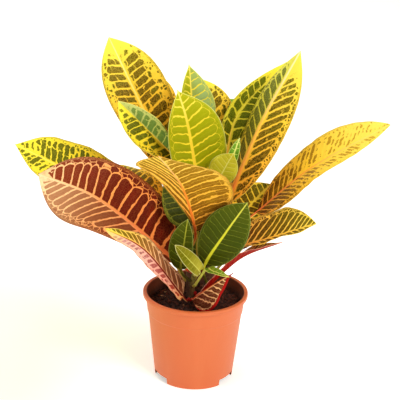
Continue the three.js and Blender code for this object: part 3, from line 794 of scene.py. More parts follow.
    def colour(self):
        look = self.look
        blush = rises(self.grain + self.strays, -0.1, 0.5) * look["blush"]
        veins = self.mix(blush, self.row_of_colours("veins"), shade(look["blush_colour"]))
        mottled = rises(self.patches + 0.5 * self.grain + 0.3 * self.luck, -0.1, 0.35) * 0.6
        ground = self.mix(mottled, self.row_of_colours("ground"), shade(look["mottle"]))
        hem = falls(self.margin_gap - self.halves(look["hem"]), 0.25, 0.8)
        colour = self.mix(self.painted, ground, veins)
        colour = self.mix(self.rib_line, colour, self.row_of_colours("midrib"))
        colour = self.mix((1 - self.upper) * look["under_share"], colour, shade(look["under"]))
        colour = self.mix(hem * look["rim"], colour, shade(look["edge"]))
        return self.mix(rises(-self.share, 0.0, 0.5), colour, shade(look["petiole"]))

    def finished(self):
        height = (0.5 * self.rib_line + self.lines * (0.8 - 1.3 * self.upper)
                  + 0.3 * self.grain + 0.2 * self.fine)
        roughness = self.look["rough"] + 0.16 * self.grain + 0.1 * (1 - self.upper) + 0.05 * self.lines
        return self.set(Base_Color=self.colour(), Roughness=clamped(roughness),
                        Normal=self.bump(height, VEIN_BUMP, self.look["relief"]))


def leaf_skin(kind, tune, name):
    """The skin of a kind of leaf, made once, or anew for a leaf with a tune of its own."""
    key = name if tune else kind
    if key not in SKINS:
        SKINS[key] = BladeSkin(key + "_skin", LOOKS[kind] | tune).finished()
    return SKINS[key]


# Each leaf as the part has it:
# - its stem, and how far up the stem it leaves
# - the widths of its left and right halves, the share of its length where each is widest, a taper that
#   slims both ends when it is larger, how far the halves curl down, and the wave's height and number
# - where its blade starts, its middle and its tip
# - the side that its upper face looks to, at the blade's start and, where it turns, at its tip
# - how far its left and right halves rise from flat, in degrees, and again at the tip where they open
# - its look, and the tune that it alone gives that look.
# A pair of numbers, other than the wave's, is for the left half and the right half.
LEAVES = {
    "leaf_upper_left": dict(
        stem="stem_tall", at=0.7, half=(35, 40), widest=0.55, taper=0.62, curl=12, wave=(2, 2.5),
        neck=(-22, 20, 244), belly=(-73, 36, 341), tip=(-111, 50, 415),
        face=(0.3, -1, 0.3), turn=(0.1, -1, 0.1), lift=(22, 10), look="sunny",
        tune=dict(lean=(0.5, 0.4))),
    "leaf_upper_left_front": dict(
        stem="stem_tall", at=0.85, half=24, widest=0.55, curl=16, wave=(2, 2),
        neck=(-21, 12, 269), belly=(-61, 2, 316), tip=(-96, 0, 351),
        face=(0.3, -0.8, 0.6), turn=(0.3, -0.9, 0.4), lift=(10, 75), look="spotted",
        tune=dict(
            spread=(1.2, 0.3),
            veins_left=("f0b428", "f5d72d", "faeb41"), veins=("b4be46", "bec864", "d2dc82"),
            ground_left=("323205", "465008", "69690f"), ground=("46641e", "648c3c", "8caa5a"))),
    "leaf_centre": dict(
        stem="stem_tall", at=0.96, half=(31, 42), widest=(0.36, 0.34), taper=0.95, curl=10, wave=(1.5, 2),
        neck=(1, 2, 240), belly=(-14, -8, 325), tip=(-27, -5, 367),
        face=(0.2, -1, 0.2), lift=(28, 5), look="lime"),
    "leaf_centre_behind": dict(
        stem="stem_tall", at=1, half=(30, 29), widest=0.45, taper=0.85, curl=12, wave=(1.5, 2),
        neck=(0, 24, 267), belly=(-10, 28, 338), tip=(-15, 32, 389),
        face=(0.4, -1, 0.2), turn=(0.3, -1, 0.2), lift=(50, 8), look="lime",
        # The right half's pale blue-green ground is painted sheen.
        tune=dict(ground_left=("7d8208", "a0a50f", "b4b428"), ground=("8caa5f", "96af69", "a5b95a"))),
    "leaf_centre_back": dict(
        stem="stem_leaning", at=1, half=30, widest=0.5, curl=12, wave=(2, 2),
        neck=(16, 50, 279), belly=(12, 68, 319), tip=(-4, 80, 362),
        face=(0, -1, 0.4), turn=(0, -1, 0.6), lift=10, look="sunny"),
    "leaf_right_behind": dict(
        stem="stem_leaning", at=0.97, half=(18, 26), widest=0.5, curl=14, wave=(2, 2),
        neck=(33, 40, 272), belly=(48, 58, 326), tip=(104, 82, 384),
        face=(-0.2, -1, 0.3), lift=(50, 15), look="deep"),
    "leaf_upper_right": dict(
        stem="stem_leaning", at=0.85, half=(34, 33), widest=0.5, curl=12, wave=(1.5, 2),
        neck=(35, 6, 227), belly=(73, 12, 328), tip=(115, 22, 411),
        face=(-0.5, -1, 0.2), turn=(-0.3, -1, 0.2), lift=(-40, 0), look="golden",
        tune=dict(
            pitch=(18, 16), lean=(0.6, 1.3), vein=(1.4, 1.0),
            spread=(0.9, 1.0), patch=(1.6, 0.6), chance=(0.6, 0.5),
            # The left half's grey-green veins and ground are painted sheen.
            veins_left=("f08c2d", "dccd3c", "f0eb5a"), ground_left=("3c2d0a", "50551e", "6e7828"))),
    "leaf_far_right": dict(
        stem="stem_leaning", at=0.58, half=(32, 29), widest=(0.6, 0.3), taper=0.5, curl=16, wave=(2, 2),
        neck=(72, 20, 209), belly=(136, 14, 271), tip=(223, 0, 331),
        face=(-0.3, -0.5, 0.8), turn=(-0.3, -0.7, 0.7), lift=(10, 30), look="pale_gold"),
    "leaf_lower_right": dict(
        stem="stem_leaning", at=0.25, half=(34, 9), widest=(0.48, 0.5), taper=0.5, curl=16, wave=(2, 2),
        neck=(50, -26, 179), belly=(95, -40, 203), tip=(138, -52, 224),
        face=(-0.2, -0.3, 1), turn=(-0.2, -0.5, 1), lift=(30, 26), look="olive"),
    "leaf_edge_right": dict(
        stem="stem_low", at=0.33, half=16, widest=0.5, curl=10, wave=(1.5, 2),
        neck=(6, -20, 117), belly=(52, -31, 169), tip=(101, -44, 197),
        face=(-0.5, 0.2, 1), turn=(-0.4, 0.2, 1), lift=(20, 30), look="scarlet",
        tune=dict(hem=1.2, rim=0.85, edge="f0a082")),
    "leaf_low_front": dict(
        stem="stem_low", at=0.13, half=(8, 25), widest=(0.4, 0.27), taper=1.2, curl=20, wave=(1, 2),
        neck=(-4, -29, 113), belly=(20, -42, 138), tip=(44, -50, 158),
        face=(0, -0.6, 1), lift=(-40, -20), look="umber",
        tune=dict(hem=(0.0, 3.0), rim=1.0, edge="a0140f")),
    "leaf_far_left": dict(
        stem="stem_tall", at=0.43, half=(30, 40), widest=0.55, curl=20, wave=(3, 2.5),
        neck=(-62, 24, 226), belly=(-152, 33, 250), tip=(-225, 40, 282),
        face=(0.2, -0.7, 0.8), turn=(0.2, -0.7, 0.7), lift=(20, 12), look="spotted",
        tune=dict(
            pitch=10.5, sway=0.6, cell=18,
            spread=1.3, patch=2.2, chance=1.6, tip_flood=0.4, speckle=2.2, wobble=5.0, net_spread=0.9)),
    "leaf_left_large": dict(
        stem="stem_low", at=0.92, half=(42, 50), widest=(0.64, 0.38), taper=0.62, curl=14, wave=(2, 2.5),
        neck=(-20, -4, 148), belly=(-114, -26, 236), tip=(-184, -44, 273),
        face=(0.3, -1, 0.35), turn=(0.3, -1, 0.3), lift=(0, 6), look="crimson",
        tune=dict(
            pitch=(22, 23), lean=(1.1, 0.25), vein=(1.6, 2.0),
            # The left half's tan ground and pale veins are partly its own colour, partly painted sheen.
            veins_left=("f07832", "ffb46e", "ffdca5"), ground_left=("5a1005", "91502d", "c38c5f"))),
    "leaf_low_left": dict(
        stem="stem_low", at=0.13, half=(17, 20), widest=(0.36, 0.2), taper=0.55, curl=10, wave=(2, 2),
        neck=(-15, -26, 114), belly=(-60, -56, 186), tip=(-106, -72, 219),
        face=(0.55, -0.25, 0.8), turn=(0.3, -0.35, 0.8), lift=(0, 25), look="rose",
        tune=dict(
            pitch=(16, 20), lean=(1.0, 1.5), cell=(70, 40),
            spread=(1.0, 0.5), patch=(3.0, 0.5), chance=(1.6, 0.4), wobble=(6.0, 1.5))),
    "leaf_middle_front": dict(
        stem="stem_tall", at=0.4, half=(56, 44), widest=(0.5, 0.72), curl=10, wave=(1.5, 2),
        neck=(-2, -25, 199), belly=(-17, -85, 275), tip=(-42, -140, 329),
        face=(0, 0.8, 0.5), turn=(0, 0.4, 1), lift=(5, 42), open=(5, 10), look="amber"),
    "leaf_dark_front": dict(
        stem="stem_leaning", at=0.13, half=27, widest=(0.5, 0.42), curl=12, wave=(1, 2),
        neck=(10, -37, 161), belly=(33, -63, 214), tip=(56, -80, 258),
        face=(0, -1, 0.3), lift=5, look="bottle"),
    "leaf_dark_small": dict(
        stem="stem_low", at=0.7, half=(18, 13), widest=0.42, curl=10, wave=(0.5, 2),
        neck=(-18, -26, 150), belly=(-15, -36, 187), tip=(-11, -42, 222),
        face=(-0.2, -1, 0.2), lift=(5, 20), look="bottle",
        # Its dark brown petiole is partly its own colour, partly painted shade.
        tune=dict(rib=1.3, midrib=("5a5514", "8c8c23", "c8c83c"), petiole="463c14")),
    "leaf_young_curled": dict(
        stem="stem_low", at=0.9, half=(11, 10), widest=0.35, taper=0.45, curl=20, wave=(0.5, 2),
        neck=(4, -44, 156), belly=(-10, -54, 177), tip=(-25, -60, 196),
        face=(0.6, -1, 0.6), turn=(0.5, -1, 0.4), lift=(30, 38), look="young",
        tune=dict(
            veins=("c3b446", "a59b32", "a09632"),
            # The left half's darker ground is painted shade, inside the fold.
            ground_left=("a0962d", "6e6e0f", "6e6910"), ground=("c3b941", "827d14", "787314"),
            mottle="6e6e0f", rim=1.0, edge="dcd78c")),
    "leaf_young_green": dict(
        stem="stem_low", at=0.55, half=7, widest=0.4, curl=10, wave=(0.5, 2),
        neck=(12, -47, 161), belly=(20, -60, 164), tip=(39, -68, 161),
        face=(0, -0.3, 1), lift=20, look="young",
        tune=dict(ground=("3c6414", "507d19", "82962d"), rim=1.0, edge="e1e16e")),
    "leaf_light_centre": dict(
        stem="stem_leaning", at=0.73, half=(18, 16), widest=0.62, curl=10, wave=(1, 2),
        neck=(18, -12, 241), belly=(27, -18, 270), tip=(40, -20, 297),
        face=(-0.1, -1, 0.3), lift=10, look="young"),
    "leaf_right_small": dict(
        stem="stem_leaning", at=0.4, half=(24, 22), widest=0.5, curl=12, wave=(1.5, 2),
        neck=(49, 36, 184), belly=(66, 42, 212), tip=(91, 46, 238),
        face=(0, -1, 0.3), lift=5, look="moss"),
    "leaf_young_narrow": dict(
        stem="stem_leaning", at=1, half=7, widest=0.45, curl=5, wave=(0.3, 2),
        neck=(35, -6, 269), belly=(41, -6, 291), tip=(47, -4, 311),
        face=(-0.2, -1, 0.3), lift=25, look="fresh"),
    "leaf_shaded": dict(
        stem="stem_tall", at=0.52, half=22, widest=0.5, curl=12, wave=(1.5, 2),
        neck=(-4, -1, 198), belly=(-19, -4, 221), tip=(-42, 2, 247),
        face=(0.2, -1, 0.3), lift=20, look="dim"),
    "leaf_inner_left": dict(
        stem="stem_tall", at=0.08, half=(15, 20), widest=0.38, curl=12, wave=(1.5, 2),
        neck=(2, 30, 124), belly=(0, 34, 158), tip=(3, 36, 192),
        face=(0, -1, 0.3), lift=12, look="dim"),
    "leaf_inner_right": dict(
        stem="stem_leaning", at=0.2, half=20, widest=0.5, curl=12, wave=(1.5, 2),
        neck=(24, 34, 145), belly=(36, 40, 172), tip=(48, 44, 200),
        face=(0, -1, 0.3), lift=12, look="deep"),
    "leaf_back_left": dict(
        stem="stem_tall", at=0.22, half=34, widest=0.5, curl=16, wave=(2.5, 2.5),
        neck=(-40, 60, 175), belly=(-90, 125, 215), tip=(-140, 175, 215),
        face=(0.2, -0.3, 1), turn=(0.2, 0.3, 1), lift=18, look="sunny"),
    "leaf_back_centre": dict(
        stem="stem_tall", at=0.52, half=36, widest=0.5, curl=16, wave=(2, 2.5),
        neck=(-12, 60, 230), belly=(-25, 130, 280), tip=(-35, 190, 270),
        face=(0, -0.5, 1), turn=(0, 0.4, 1), lift=16, look="golden"),
    "leaf_back_right": dict(
        stem="stem_leaning", at=0.7, half=30, widest=0.5, curl=16, wave=(2, 2.5),
        neck=(40, 50, 235), belly=(65, 110, 275), tip=(90, 165, 255),
        face=(-0.2, -0.4, 1), turn=(0.2, 0.4, 1), lift=18, look="spotted"),
    "leaf_back_low": dict(
        stem="stem_leaning", at=0.13, half=30, widest=0.5, curl=16, wave=(2, 2.5),
        neck=(25, 60, 150), belly=(35, 120, 175), tip=(40, 180, 150),
        face=(0, -0.3, 1), turn=(0, 0.5, 1), lift=15, look="deep"),
    "leaf_back_upper_left": dict(
        stem="stem_tall", at=0.92, half=28, widest=0.5, curl=14, wave=(2, 2),
        neck=(-30, 45, 290), belly=(-60, 80, 335), tip=(-95, 110, 360),
        face=(0.4, -1, 0.6), turn=(0.4, -0.8, 0.8), lift=18, look="pale_gold"),
    "leaf_back_low_right": dict(
        stem="stem_leaning", at=0.1, half=28, widest=0.5, curl=16, wave=(2, 2),
        neck=(55, 40, 150), belly=(90, 80, 180), tip=(115, 115, 165),
        face=(-0.3, -0.2, 1), turn=(0.2, 0.3, 1), lift=15, look="crimson"),
    "leaf_back_low_left": dict(
        stem="stem_tall", at=0.1, half=22, widest=0.5, curl=16, wave=(2, 2),
        neck=(-35, 30, 145), belly=(-75, 65, 175), tip=(-100, 95, 165),
        face=(0.3, -0.2, 1), turn=(-0.2, 0.3, 1), lift=15, look="moss"),
    "leaf_back_upper": dict(
        stem="stem_leaning", at=0.88, half=26, widest=0.5, curl=14, wave=(2, 2),
        neck=(35, 60, 265), belly=(45, 110, 305), tip=(60, 150, 320),
        face=(0, -1, 1), turn=(0, -0.4, 1), lift=16, look="fresh"),
}


# Stems

STEM_AROUND = 40
STEM_ROWS = 200
SCARS = 9
SCAR_TURN = 137.5
RING_HEIGHT = 0.45
RING_BREADTH = 0.9
RING_TILT = 0.8
SCAR_ABOVE_RING = 1.6
SCAR_BREADTH = 1.5
FLUTES = 5
FLUTE_HEIGHT = 0.12


def stem_piece(name, stem, bark, draw):
    """A woody stem with the rings and the crescent scars that fallen leaves have left."""
    shares = np.arange(STEM_ROWS + 1) / STEM_ROWS
    middle, along = curve_at(stem["path"], shares)
    middle = np.vstack([middle[0] * (1, 1, 0) + (0, 0, STEM_FOOT), middle])
    along = np.vstack([[0, 0, 1], along])
    along[1] = (0, 0, 1)
    side = unit(np.cross((0, 1, 0), along))
    front = np.cross(along, side)
    share = np.concatenate([[0], shares])[:, None]
    angle = turns(STEM_AROUND)
    length = np.concatenate([[0], np.cumsum(np.linalg.norm(np.diff(middle, axis=0), axis=1))])[:, None]
    radius = stem_radius(stem, share) * np.ones(STEM_AROUND)
    scar = np.zeros_like(radius)
    start = draw.uniform(0, 2 * np.pi)
    buried = STEM_START - STEM_FOOT
    for i in range(SCARS):
        height = buried + (length[-1] - buried) * (i + 0.5) / SCARS
        away = np.angle(np.exp(1j * (angle - start - i * math.radians(SCAR_TURN))))
        rise = length - height - RING_TILT * np.cos(away)
        radius += RING_HEIGHT * np.exp(-(rise / RING_BREADTH) ** 2) * (0.35 + np.exp(-(away / 0.7) ** 2))
        scar += np.exp(-((length - height - SCAR_ABOVE_RING) / SCAR_BREADTH) ** 2 - (away / 0.5) ** 2)
    radius += FLUTE_HEIGHT * np.sin(FLUTES * angle + length * 0.11) * np.sin(length * 0.23)
    rings = (middle[:, None, :] + side[:, None, :] * (radius * np.cos(angle))[..., None]
             + front[:, None, :] * (radius * np.sin(angle))[..., None])
    place = np.stack(np.broadcast_arrays(share, length, scar), axis=-1)
    return mesh_piece(name + "_bark", rings.reshape(-1, 3), skin_faces(*rings.shape[:2]),
                      bark, name, {"bark_place": place})


def bark_finish():
    """Red-brown bark: corky below, greener above, with pale specks and darker scars."""
    finish = Finish("bark", Specular_IOR_Level=0.35)
    share, _, scar = finish.parts(finish.attribute("bark_place"))
    where = finish.place()
    streaks = finish.cloud(finish.stretched(where, 0.25), 900, 4)
    specks = rises(finish.cloud(where, 700), 0.6, 0.68)
    colour = finish.ramp(clamped(share + 0.35 * (streaks - 0.5)),
                         (0.0, shade("4b1e0c")), (0.4, shade("5f3c14")), (1.0, shade("82822d")))
    colour = finish.mix(0.55 * rises(streaks, 0.45, 0.62), colour, shade("4d3d25"))
    colour = finish.mix(0.25 * specks, colour, shade("b5a67c"))
    colour = finish.mix(clamped(scar * 0.8), colour, shade("4a3820"))
    return finish.set(Base_Color=colour, Roughness=0.6 + 0.3 * streaks,
                      Normal=finish.bump(streaks + 0.4 * specks, 0.0004, 0.6))


# Soil

SOIL_AROUND = 220
SOIL_RINGS = 56
ROUGHNESS = 0.9
ROUGH_SCALE = 0.22
PALE_CHIP = (8.5, 3.2, 1.6)
PALE_CHIP_PLACE = (-20, -46, SOIL_TOP - 0.5)

# Lumps on the soil: how finely their ball is divided, its radii, how many there are, their least and
# greatest scale, the share of their lower part that stays above the soil, and the range of their tone.
CRUMBS = [
    dict(ball=2, radii=(1.5, 1.5, 1.3), number=520, scale=(0.6, 1.6), above=0.5, tone=(0.1, 0.75)),
    dict(ball=1, radii=(0.75, 0.75, 0.7), number=2300, scale=(0.5, 1.4), above=0.6, tone=(0.0, 0.9)),
]
FIBRES = dict(ball=1, radii=(5.0, 0.45, 0.4), number=150, scale=(0.5, 1.3), above=1.0, tone=(0.5, 1.0))
CHIPS = dict(ball=2, radii=(4.2, 2.4, 0.9), number=16, scale=(0.6, 1.1), above=1.0, tone=(1.2, 1.6))


def wall_radius(height):
    return FOOT_RADIUS + WALL_TAPER * height


SOIL_EDGE = SOIL_TOP - SOIL_EDGE_DROP
SOIL_RADIUS = wall_radius(SOIL_EDGE) + COLLAR_STEP - WALL - SOIL_CLEARANCE
COLLAR_FOOT = POT_HEIGHT - COLLAR_HEIGHT


def soil_height(radius, angle):
    """The height of the soil's bumpy dome, which settles to a level edge at the wall."""
    share = radius / SOIL_RADIUS
    bumps = BROAD_BUMP * np.sin(3 * angle + 7 * share) + SMALL_BUMP * np.sin(7 * angle - 11 * share)
    return SOIL_TOP - SOIL_EDGE_DROP * share ** 4 + bumps * (1 - eased(share, 0.8, 1))


def ball(divisions):
    """Points and faces of a faceted ball of radius 1."""
    shape = bmesh.new()
    bmesh.ops.create_icosphere(shape, subdivisions=divisions, radius=1)
    points = np.array([vertex.co[:] for vertex in shape.verts])
    faces = [[vertex.index for vertex in face.verts] for face in shape.faces]
    shape.free()
    return points, faces


def turned(draw):
    """A random rotation."""
    axes, _ = np.linalg.qr(draw.normal(size=(3, 3)))
    return axes * np.sign(np.linalg.det(axes))


def spun(turn, pitch, roll):
    """A rotation about the upright, after a pitch and a roll."""
    pitched = Matrix.Rotation(pitch, 3, "Y") @ Matrix.Rotation(roll, 3, "X")
    return np.array(Matrix.Rotation(turn, 3, "Z") @ pitched)


class Heap:
    """Soil that lumps are added to. Each point has a tone."""

    def __init__(self):
        self.points = []
        self.tones = []
        self.faces = []
        self.count = 0

    def add(self, points, tones, faces):
        self.points.append(points)
        self.tones.append(tones)
        self.faces.extend([self.count + corner for corner in face] for face in faces)
        self.count += len(points)

    def add_dome(self):
        """The soil's rough top, and its side and foot inside the pot."""
        angle = turns(SOIL_AROUND)
        rings = []
        tones = []
        for i in range(1, SOIL_RINGS + 1):
            radius = SOIL_RADIUS * i / SOIL_RINGS
            x, y = radius * np.cos(angle), -radius * np.sin(angle)
            places = [Vector((*place, 0)) * ROUGH_SCALE for place in zip(x, y)]
            rough = np.array([noise.fractal(place, 1, 2, 4) for place in places])
            height = soil_height(radius, angle) + ROUGHNESS * rough * (i < SOIL_RINGS)
            rings.append(np.stack([x, y, height], axis=-1))
            tones.append(0.3 + 0.25 * rough)
        for radius, height in ((wall_radius(COLLAR_FOOT) + COLLAR_STEP, COLLAR_FOOT + COLLAR_SLOPE),
                               (wall_radius(COLLAR_FOOT), COLLAR_FOOT),
                               (wall_radius(FLOOR_TOP), FLOOR_TOP + SOIL_CLEARANCE)):
            radius -= WALL + SOIL_CLEARANCE
            x, y = radius * np.cos(angle), -radius * np.sin(angle)
            rings.append(np.stack([x, y, 0 * angle + height], axis=-1))
            tones.append(0 * angle + 0.2)
        self.add(np.concatenate(rings), np.concatenate(tones), skin_faces(len(rings), SOIL_AROUND))

    def scatter(self, lumps, flat, draw):
        """Lumps of one kind, strewn over the soil. Flat ones lie down."""
        corners, faces = ball(lumps["ball"])
        for _ in range(lumps["number"]):
            radii = np.array(lumps["radii"]) * draw.uniform(*lumps["scale"])
            radius = (SOIL_RADIUS - 0.8 * radii.max()) * math.sqrt(draw.uniform())
            angle = draw.uniform(0, 2 * np.pi)
            lump = corners * draw.uniform(0.78, 1.12, (len(corners), 1)) * radii * draw.uniform(0.7, 1.2, 3)
            tilt = turned(draw)
            if flat:
                tilt = spun(draw.uniform(0, 2 * np.pi), draw.uniform(-0.25, 0.25), draw.uniform(-0.25, 0.25))
            lump = lump @ tilt.T
            height = soil_height(radius, angle) - lump[:, 2].min() * lumps["above"]
            lump += (radius * math.cos(angle), -radius * math.sin(angle), height)
            self.add(lump, np.full(len(corners), draw.uniform(*lumps["tone"])), faces)

    def add_pale_chip(self, draw):
        """One pale chip of bark, at the front."""
        corners, faces = ball(2)
        chip = corners * draw.uniform(0.85, 1.1, (len(corners), 1)) * PALE_CHIP
        self.add(chip @ spun(0.15, 0.12, -0.2).T + PALE_CHIP_PLACE, np.full(len(corners), 2.0), faces)


def soil_piece(draw):
    heap = Heap()
    heap.add_dome()
    for lumps in CRUMBS:
        heap.scatter(lumps, False, draw)
    for lumps in (FIBRES, CHIPS):
        heap.scatter(lumps, True, draw)
    heap.add_pale_chip(draw)
    return mesh_piece("soil_peat", np.concatenate(heap.points), heap.faces, peat_finish(), "soil",
                      {"peat_tone": np.concatenate(heap.tones)}, smooth=False)


def peat_finish():
    """Damp peat: near black between the crumbs, red-brown on them, and paler bits of bark."""
    finish = Finish("peat", Specular_IOR_Level=0.3)
    tone = finish.attribute("peat_tone", "Fac")
    where = finish.place()
    grain = finish.cloud(where, 1400, 4, 0.6)
    damp = finish.cloud(where, 60)
    colour = finish.ramp(
        clamped((tone + 0.7 * (grain - 0.5)) / 2),
        (0.0, shade("1e0d06")), (0.2, shade("3c1a0c")), (0.4, shade("642a14")),
        (0.52, shade("743c20")), (0.7, shade("9c7450")), (1.0, shade("d8bd92")))
    colour = finish.mix(0.4 * rises(damp, 0.45, 0.65), colour, shade("140a06"))
    return finish.set(Base_Color=colour, Roughness=0.72 + 0.25 * grain,
                      Normal=finish.bump(grain, 0.0008, 0.8))


# Pot

POT_AROUND = 256
ARC_STEPS = 4
DRAIN_SIDES = 32
SHARP_ANGLE = 35
# Heights in millimetres over which the inner wall darkens towards the soil: partly a soil stain, partly
# painted shade.
STAIN_AND_SHADE_LINE = (95, 106)


def pot_corners():
    """The pot's section from the middle of its foot, up the outside and down the inside: radius, height,
    and how far each corner is rounded."""
    collar_top = COLLAR_FOOT + COLLAR_SLOPE
    lip_foot = POT_HEIGHT - LIP_HEIGHT
    skirt = FOOT_RADIUS - FOOT_CHAMFER - WALL
    floor_foot = FLOOR_TOP - FLOOR_THICK
    return [
        (0, 0, 0),
        (CENTRE_FOOT_RADIUS, 0, 0.5),
        (CENTRE_FOOT_RADIUS + CENTRE_FOOT_SLOPE, floor_foot, 0.6),
        (skirt, floor_foot, 0.6),
        (skirt, 0, 0.4),
        (wall_radius(0), 0, FOOT_CHAMFER),
        (wall_radius(COLLAR_FOOT), COLLAR_FOOT, 0.5),
        (wall_radius(COLLAR_FOOT) + COLLAR_STEP, collar_top, 0.5),
        (wall_radius(lip_foot) + COLLAR_STEP, lip_foot, 0.3),
        (RIM_RADIUS, lip_foot, LIP_ROUND * 0.7),
        (RIM_RADIUS, POT_HEIGHT, LIP_ROUND),
        (wall_radius(POT_HEIGHT) + COLLAR_STEP - WALL, POT_HEIGHT, LIP_ROUND),
        (wall_radius(COLLAR_FOOT) + COLLAR_STEP - WALL, collar_top, 0.4),
        (wall_radius(COLLAR_FOOT) - WALL, COLLAR_FOOT, 0.4),
        (wall_radius(FLOOR_TOP) - WALL, FLOOR_TOP, 1.0),
        (0, FLOOR_TOP, 0)]


def softened(corners):
    """The section between its two ends, with an arc at each corner."""
    section = []
    for before, corner, after in zip(corners, corners[1:], corners[2:]):
        here = np.array(corner[:2], float)
        back = unit(np.array(before[:2]) - here)
        forth = unit(np.array(after[:2]) - here)
        for t in np.arange(ARC_STEPS + 1) / ARC_STEPS:
            section.append(here + corner[2] * (back * (1 - t) ** 2 + forth * t ** 2))
    return np.array(section)


def pot_cutters():
    """The solids that cut the notches between the feet, and the drain holes."""
    cutters = bmesh.new()
    notch_width = 2 * FOOT_RADIUS * math.sin(math.radians(NOTCH_ANGLE / 2))
    sizes = Matrix.Diagonal((notch_width * MM, NOTCH_DEPTH * MM, 2 * NOTCH_HEIGHT * MM, 1))
    to_skirt = Matrix.Translation((0, FOOT_RADIUS * MM, 0))
    for angle in turns(NOTCHES):
        bmesh.ops.create_cube(cutters, size=1, matrix=Matrix.Rotation(angle, 4, "Z") @ to_skirt @ sizes)
    to_drain = Matrix.Translation((DRAIN_CIRCLE * MM, 0, (FLOOR_TOP - FLOOR_THICK / 2) * MM))
    for angle in turns(DRAINS):
        bmesh.ops.create_cone(
            cutters, cap_ends=True, segments=DRAIN_SIDES, radius1=DRAIN_RADIUS * MM,
            radius2=DRAIN_RADIUS * MM, depth=2 * FLOOR_THICK * MM,
            matrix=Matrix.Rotation(angle, 4, "Z") @ to_drain)
    return cutters


def pot_piece():
    section = softened(pot_corners())
    angle = turns(POT_AROUND)
    rings = np.stack([section[:, :1] * np.cos(angle), section[:, :1] * np.sin(angle),
                      section[:, 1:] + 0 * angle], axis=-1)
    pot = mesh_piece("pot_moulding", rings.reshape(-1, 3), skin_faces(len(section), POT_AROUND),
                     plastic_finish(), "pot")
    carve(pot, pot_cutters())
    pot.data.set_sharp_from_angle(angle=math.radians(SHARP_ANGLE))
    return pot


def carve(piece, cutters):
    """Cuts the cutters' solids out of a piece for good."""
    mesh = bpy.data.meshes.new("cutter")
    cutters.to_mesh(mesh)
    cutters.free()
    tool = bpy.data.objects.new("cutter", mesh)
    bpy.context.scene.collection.objects.link(tool)
    cut = piece.modifiers.new("cut", "BOOLEAN")
    cut.operation = "DIFFERENCE"
    cut.solver = "EXACT"
    cut.object = tool
    shaped = piece.evaluated_get(bpy.context.evaluated_depsgraph_get())
    whole = piece.data
    piece.data = bpy.data.meshes.new_from_object(shaped)
    piece.modifiers.remove(cut)
    bpy.data.objects.remove(tool)
    bpy.data.meshes.remove(mesh)
    bpy.data.meshes.remove(whole)


def plastic_finish():
    """Terracotta-orange plastic, satin outside, with dust. Inside, the wall is painted dark brown as painted
    shade, and is darker still near the soil, partly a soil stain and partly painted shade.
    """
    finish = Finish("pot_plastic", Specular_IOR_Level=0.45, Subsurface_Weight=0.06, Subsurface_Scale=0.003)
    where = finish.place()
    x, y, z = finish.parts(where)
    from_foot = (x * x + y * y) ** 0.5 - WALL_TAPER * z
    inside = falls(from_foot, (FOOT_RADIUS - 0.9) * MM, (FOOT_RADIUS - 0.3) * MM)
    flow = finish.cloud(finish.stretched(where, 0.15), 40, 3)
    fine = finish.cloud(where, 2200)
    marks = finish.cloud(where, 220, 5, 0.65)
    dirt = rises(marks, 0.58, 0.76)
    stain_and_shade = falls(z + 0.012 * (marks - 0.5), STAIN_AND_SHADE_LINE[0] * MM, STAIN_AND_SHADE_LINE[1] * MM) * inside
    colour = finish.mix(0.35 * rises(flow, 0.35, 0.7), shade("d26731"), shade("d7743f"))
    colour = finish.mix(0.06 * dirt, colour, shade("a85a34"))
    # The inner wall is painted dark brown: painted shade, with some soil stain.
    colour = finish.mix(0.85 * inside, colour, shade("5f2f1c"))
    # Darker still near the soil: partly a soil stain, partly painted shade.
    colour = finish.mix(0.8 * stain_and_shade, colour, shade("3c1e12"))
    roughness = 0.42 + 0.08 * flow + 0.1 * dirt + 0.3 * stain_and_shade
    return finish.set(Base_Color=colour, Roughness=clamped(roughness),
                      Normal=finish.bump(fine + 0.4 * marks, 0.00015, 0.5))


# The whole plant

BARK = bark_finish()
for index, (name, stem) in enumerate(STEMS.items()):
    stem_piece(name, stem, BARK, np.random.default_rng(100 + index))
for index, (name, leaf) in enumerate(LEAVES.items()):
    leaf_piece(name, leaf, np.random.default_rng(200 + index))
soil_piece(np.random.default_rng(7))
pot_piece()


# Floor, lights and camera

FLOOR_SIZE = 60
FLOOR_GLOW = 0.42
ROOM_COLOUR = (1.0, 0.97, 0.93, 1.0)
ROOM_STRENGTH = 0.3
LENS = 97.3
CAMERA_PLACE = (0.00252, -1.22314, 0.67121)
CAMERA_PITCH = 70.2
CAMERA_ROLL = 1.57
PLANT_MIDDLE = (0, 0, 0.2)

# Each softbox: its place, what it is aimed at, its power, its width and height, and its colour.
SOFTBOXES = {
    "key_softbox": ((1.5, -1.7, 2.0), PLANT_MIDDLE, 56, (1.2, 1.2), (1.0, 0.98, 0.95)),
    "fill_softbox": ((-2.0, -1.4, 1.5), PLANT_MIDDLE, 18, (1.6, 1.6), (1.0, 0.98, 0.96)),
    "top_softbox": ((-0.2, 0.4, 2.6), PLANT_MIDDLE, 26, (1.8, 1.8), (1.0, 1.0, 1.0)),
    "back_softbox": ((-1.3, 1.9, 1.5), PLANT_MIDDLE, 14, (1.2, 1.2), (0.95, 0.97, 1.0)),
    "floor_softbox": ((0, 3.4, 1.6), (0, 3.3, 0), 9, (2.4, 1.2), (1.0, 0.99, 0.99)),
}


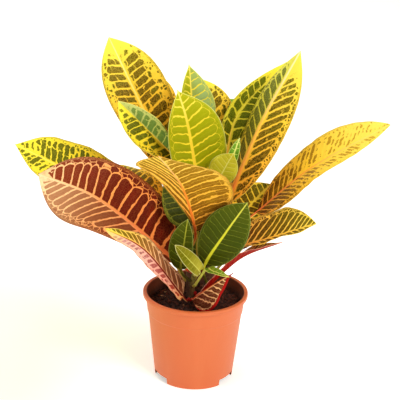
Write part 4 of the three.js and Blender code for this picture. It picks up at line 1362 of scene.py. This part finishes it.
def paper_finish():
    """White paper that glows a little, with a cream painted shadow to the left of the pot."""
    finish = Finish("floor", Roughness=0.9, Specular_IOR_Level=0.1, Emission_Strength=FLOOR_GLOW)
    x, y, _ = finish.parts(finish.place())
    # A soft cream patch to the left of the pot, in both base and glow colour: a painted shadow.
    painted_shadow = rises(-x, 0.02, 0.22) * falls(-x, 0.7, 1.2) * falls(y, -0.02, 0.42) * rises(y, -0.4, -0.06)
    return finish.set(Base_Color=finish.mix(painted_shadow, shade("f8f6f1"), shade("f8f6c6")),
                      Emission_Color=finish.mix(painted_shadow, (1.0, 0.985, 0.95, 1.0), (1.0, 0.985, 0.62, 1.0)))


def floor():
    mesh = bpy.data.meshes.new("floor")
    half = FLOOR_SIZE / 2
    corners = [(-half, -half, 0), (half, -half, 0), (half, half, 0), (-half, half, 0)]
    mesh.from_pydata(corners, [], [(0, 1, 2, 3)])
    mesh.materials.append(paper_finish())
    piece = bpy.data.objects.new("floor", mesh)
    bpy.context.scene.collection.objects.link(piece)


def softbox(name, place, aim, power, size, colour):
    lamp = bpy.data.lights.new(name, "AREA")
    lamp.shape = "RECTANGLE"
    lamp.size, lamp.size_y = size
    lamp.energy = power
    lamp.color = colour
    light = bpy.data.objects.new(name, lamp)
    light.location = place
    light.rotation_euler = (Vector(aim) - Vector(place)).to_track_quat("-Z", "Y").to_euler()
    bpy.context.scene.collection.objects.link(light)


def camera():
    lens = bpy.data.cameras.new("camera")
    lens.lens = LENS
    eye = bpy.data.objects.new("camera", lens)
    eye.matrix_world = (Matrix.Translation(CAMERA_PLACE) @ Matrix.Rotation(math.radians(CAMERA_PITCH), 4, "X")
                        @ Matrix.Rotation(math.radians(CAMERA_ROLL), 4, "Z"))
    bpy.context.scene.collection.objects.link(eye)
    bpy.context.scene.camera = eye


def room():
    world = bpy.data.worlds.new("room")
    world.use_nodes = True
    background = world.node_tree.nodes["Background"]
    background.inputs["Color"].default_value = ROOM_COLOUR
    background.inputs["Strength"].default_value = ROOM_STRENGTH
    bpy.context.scene.world = world
    bpy.context.scene.view_settings.view_transform = "Standard"


floor()
room()
for name, settings in SOFTBOXES.items():
    softbox(name, *settings)
camera()
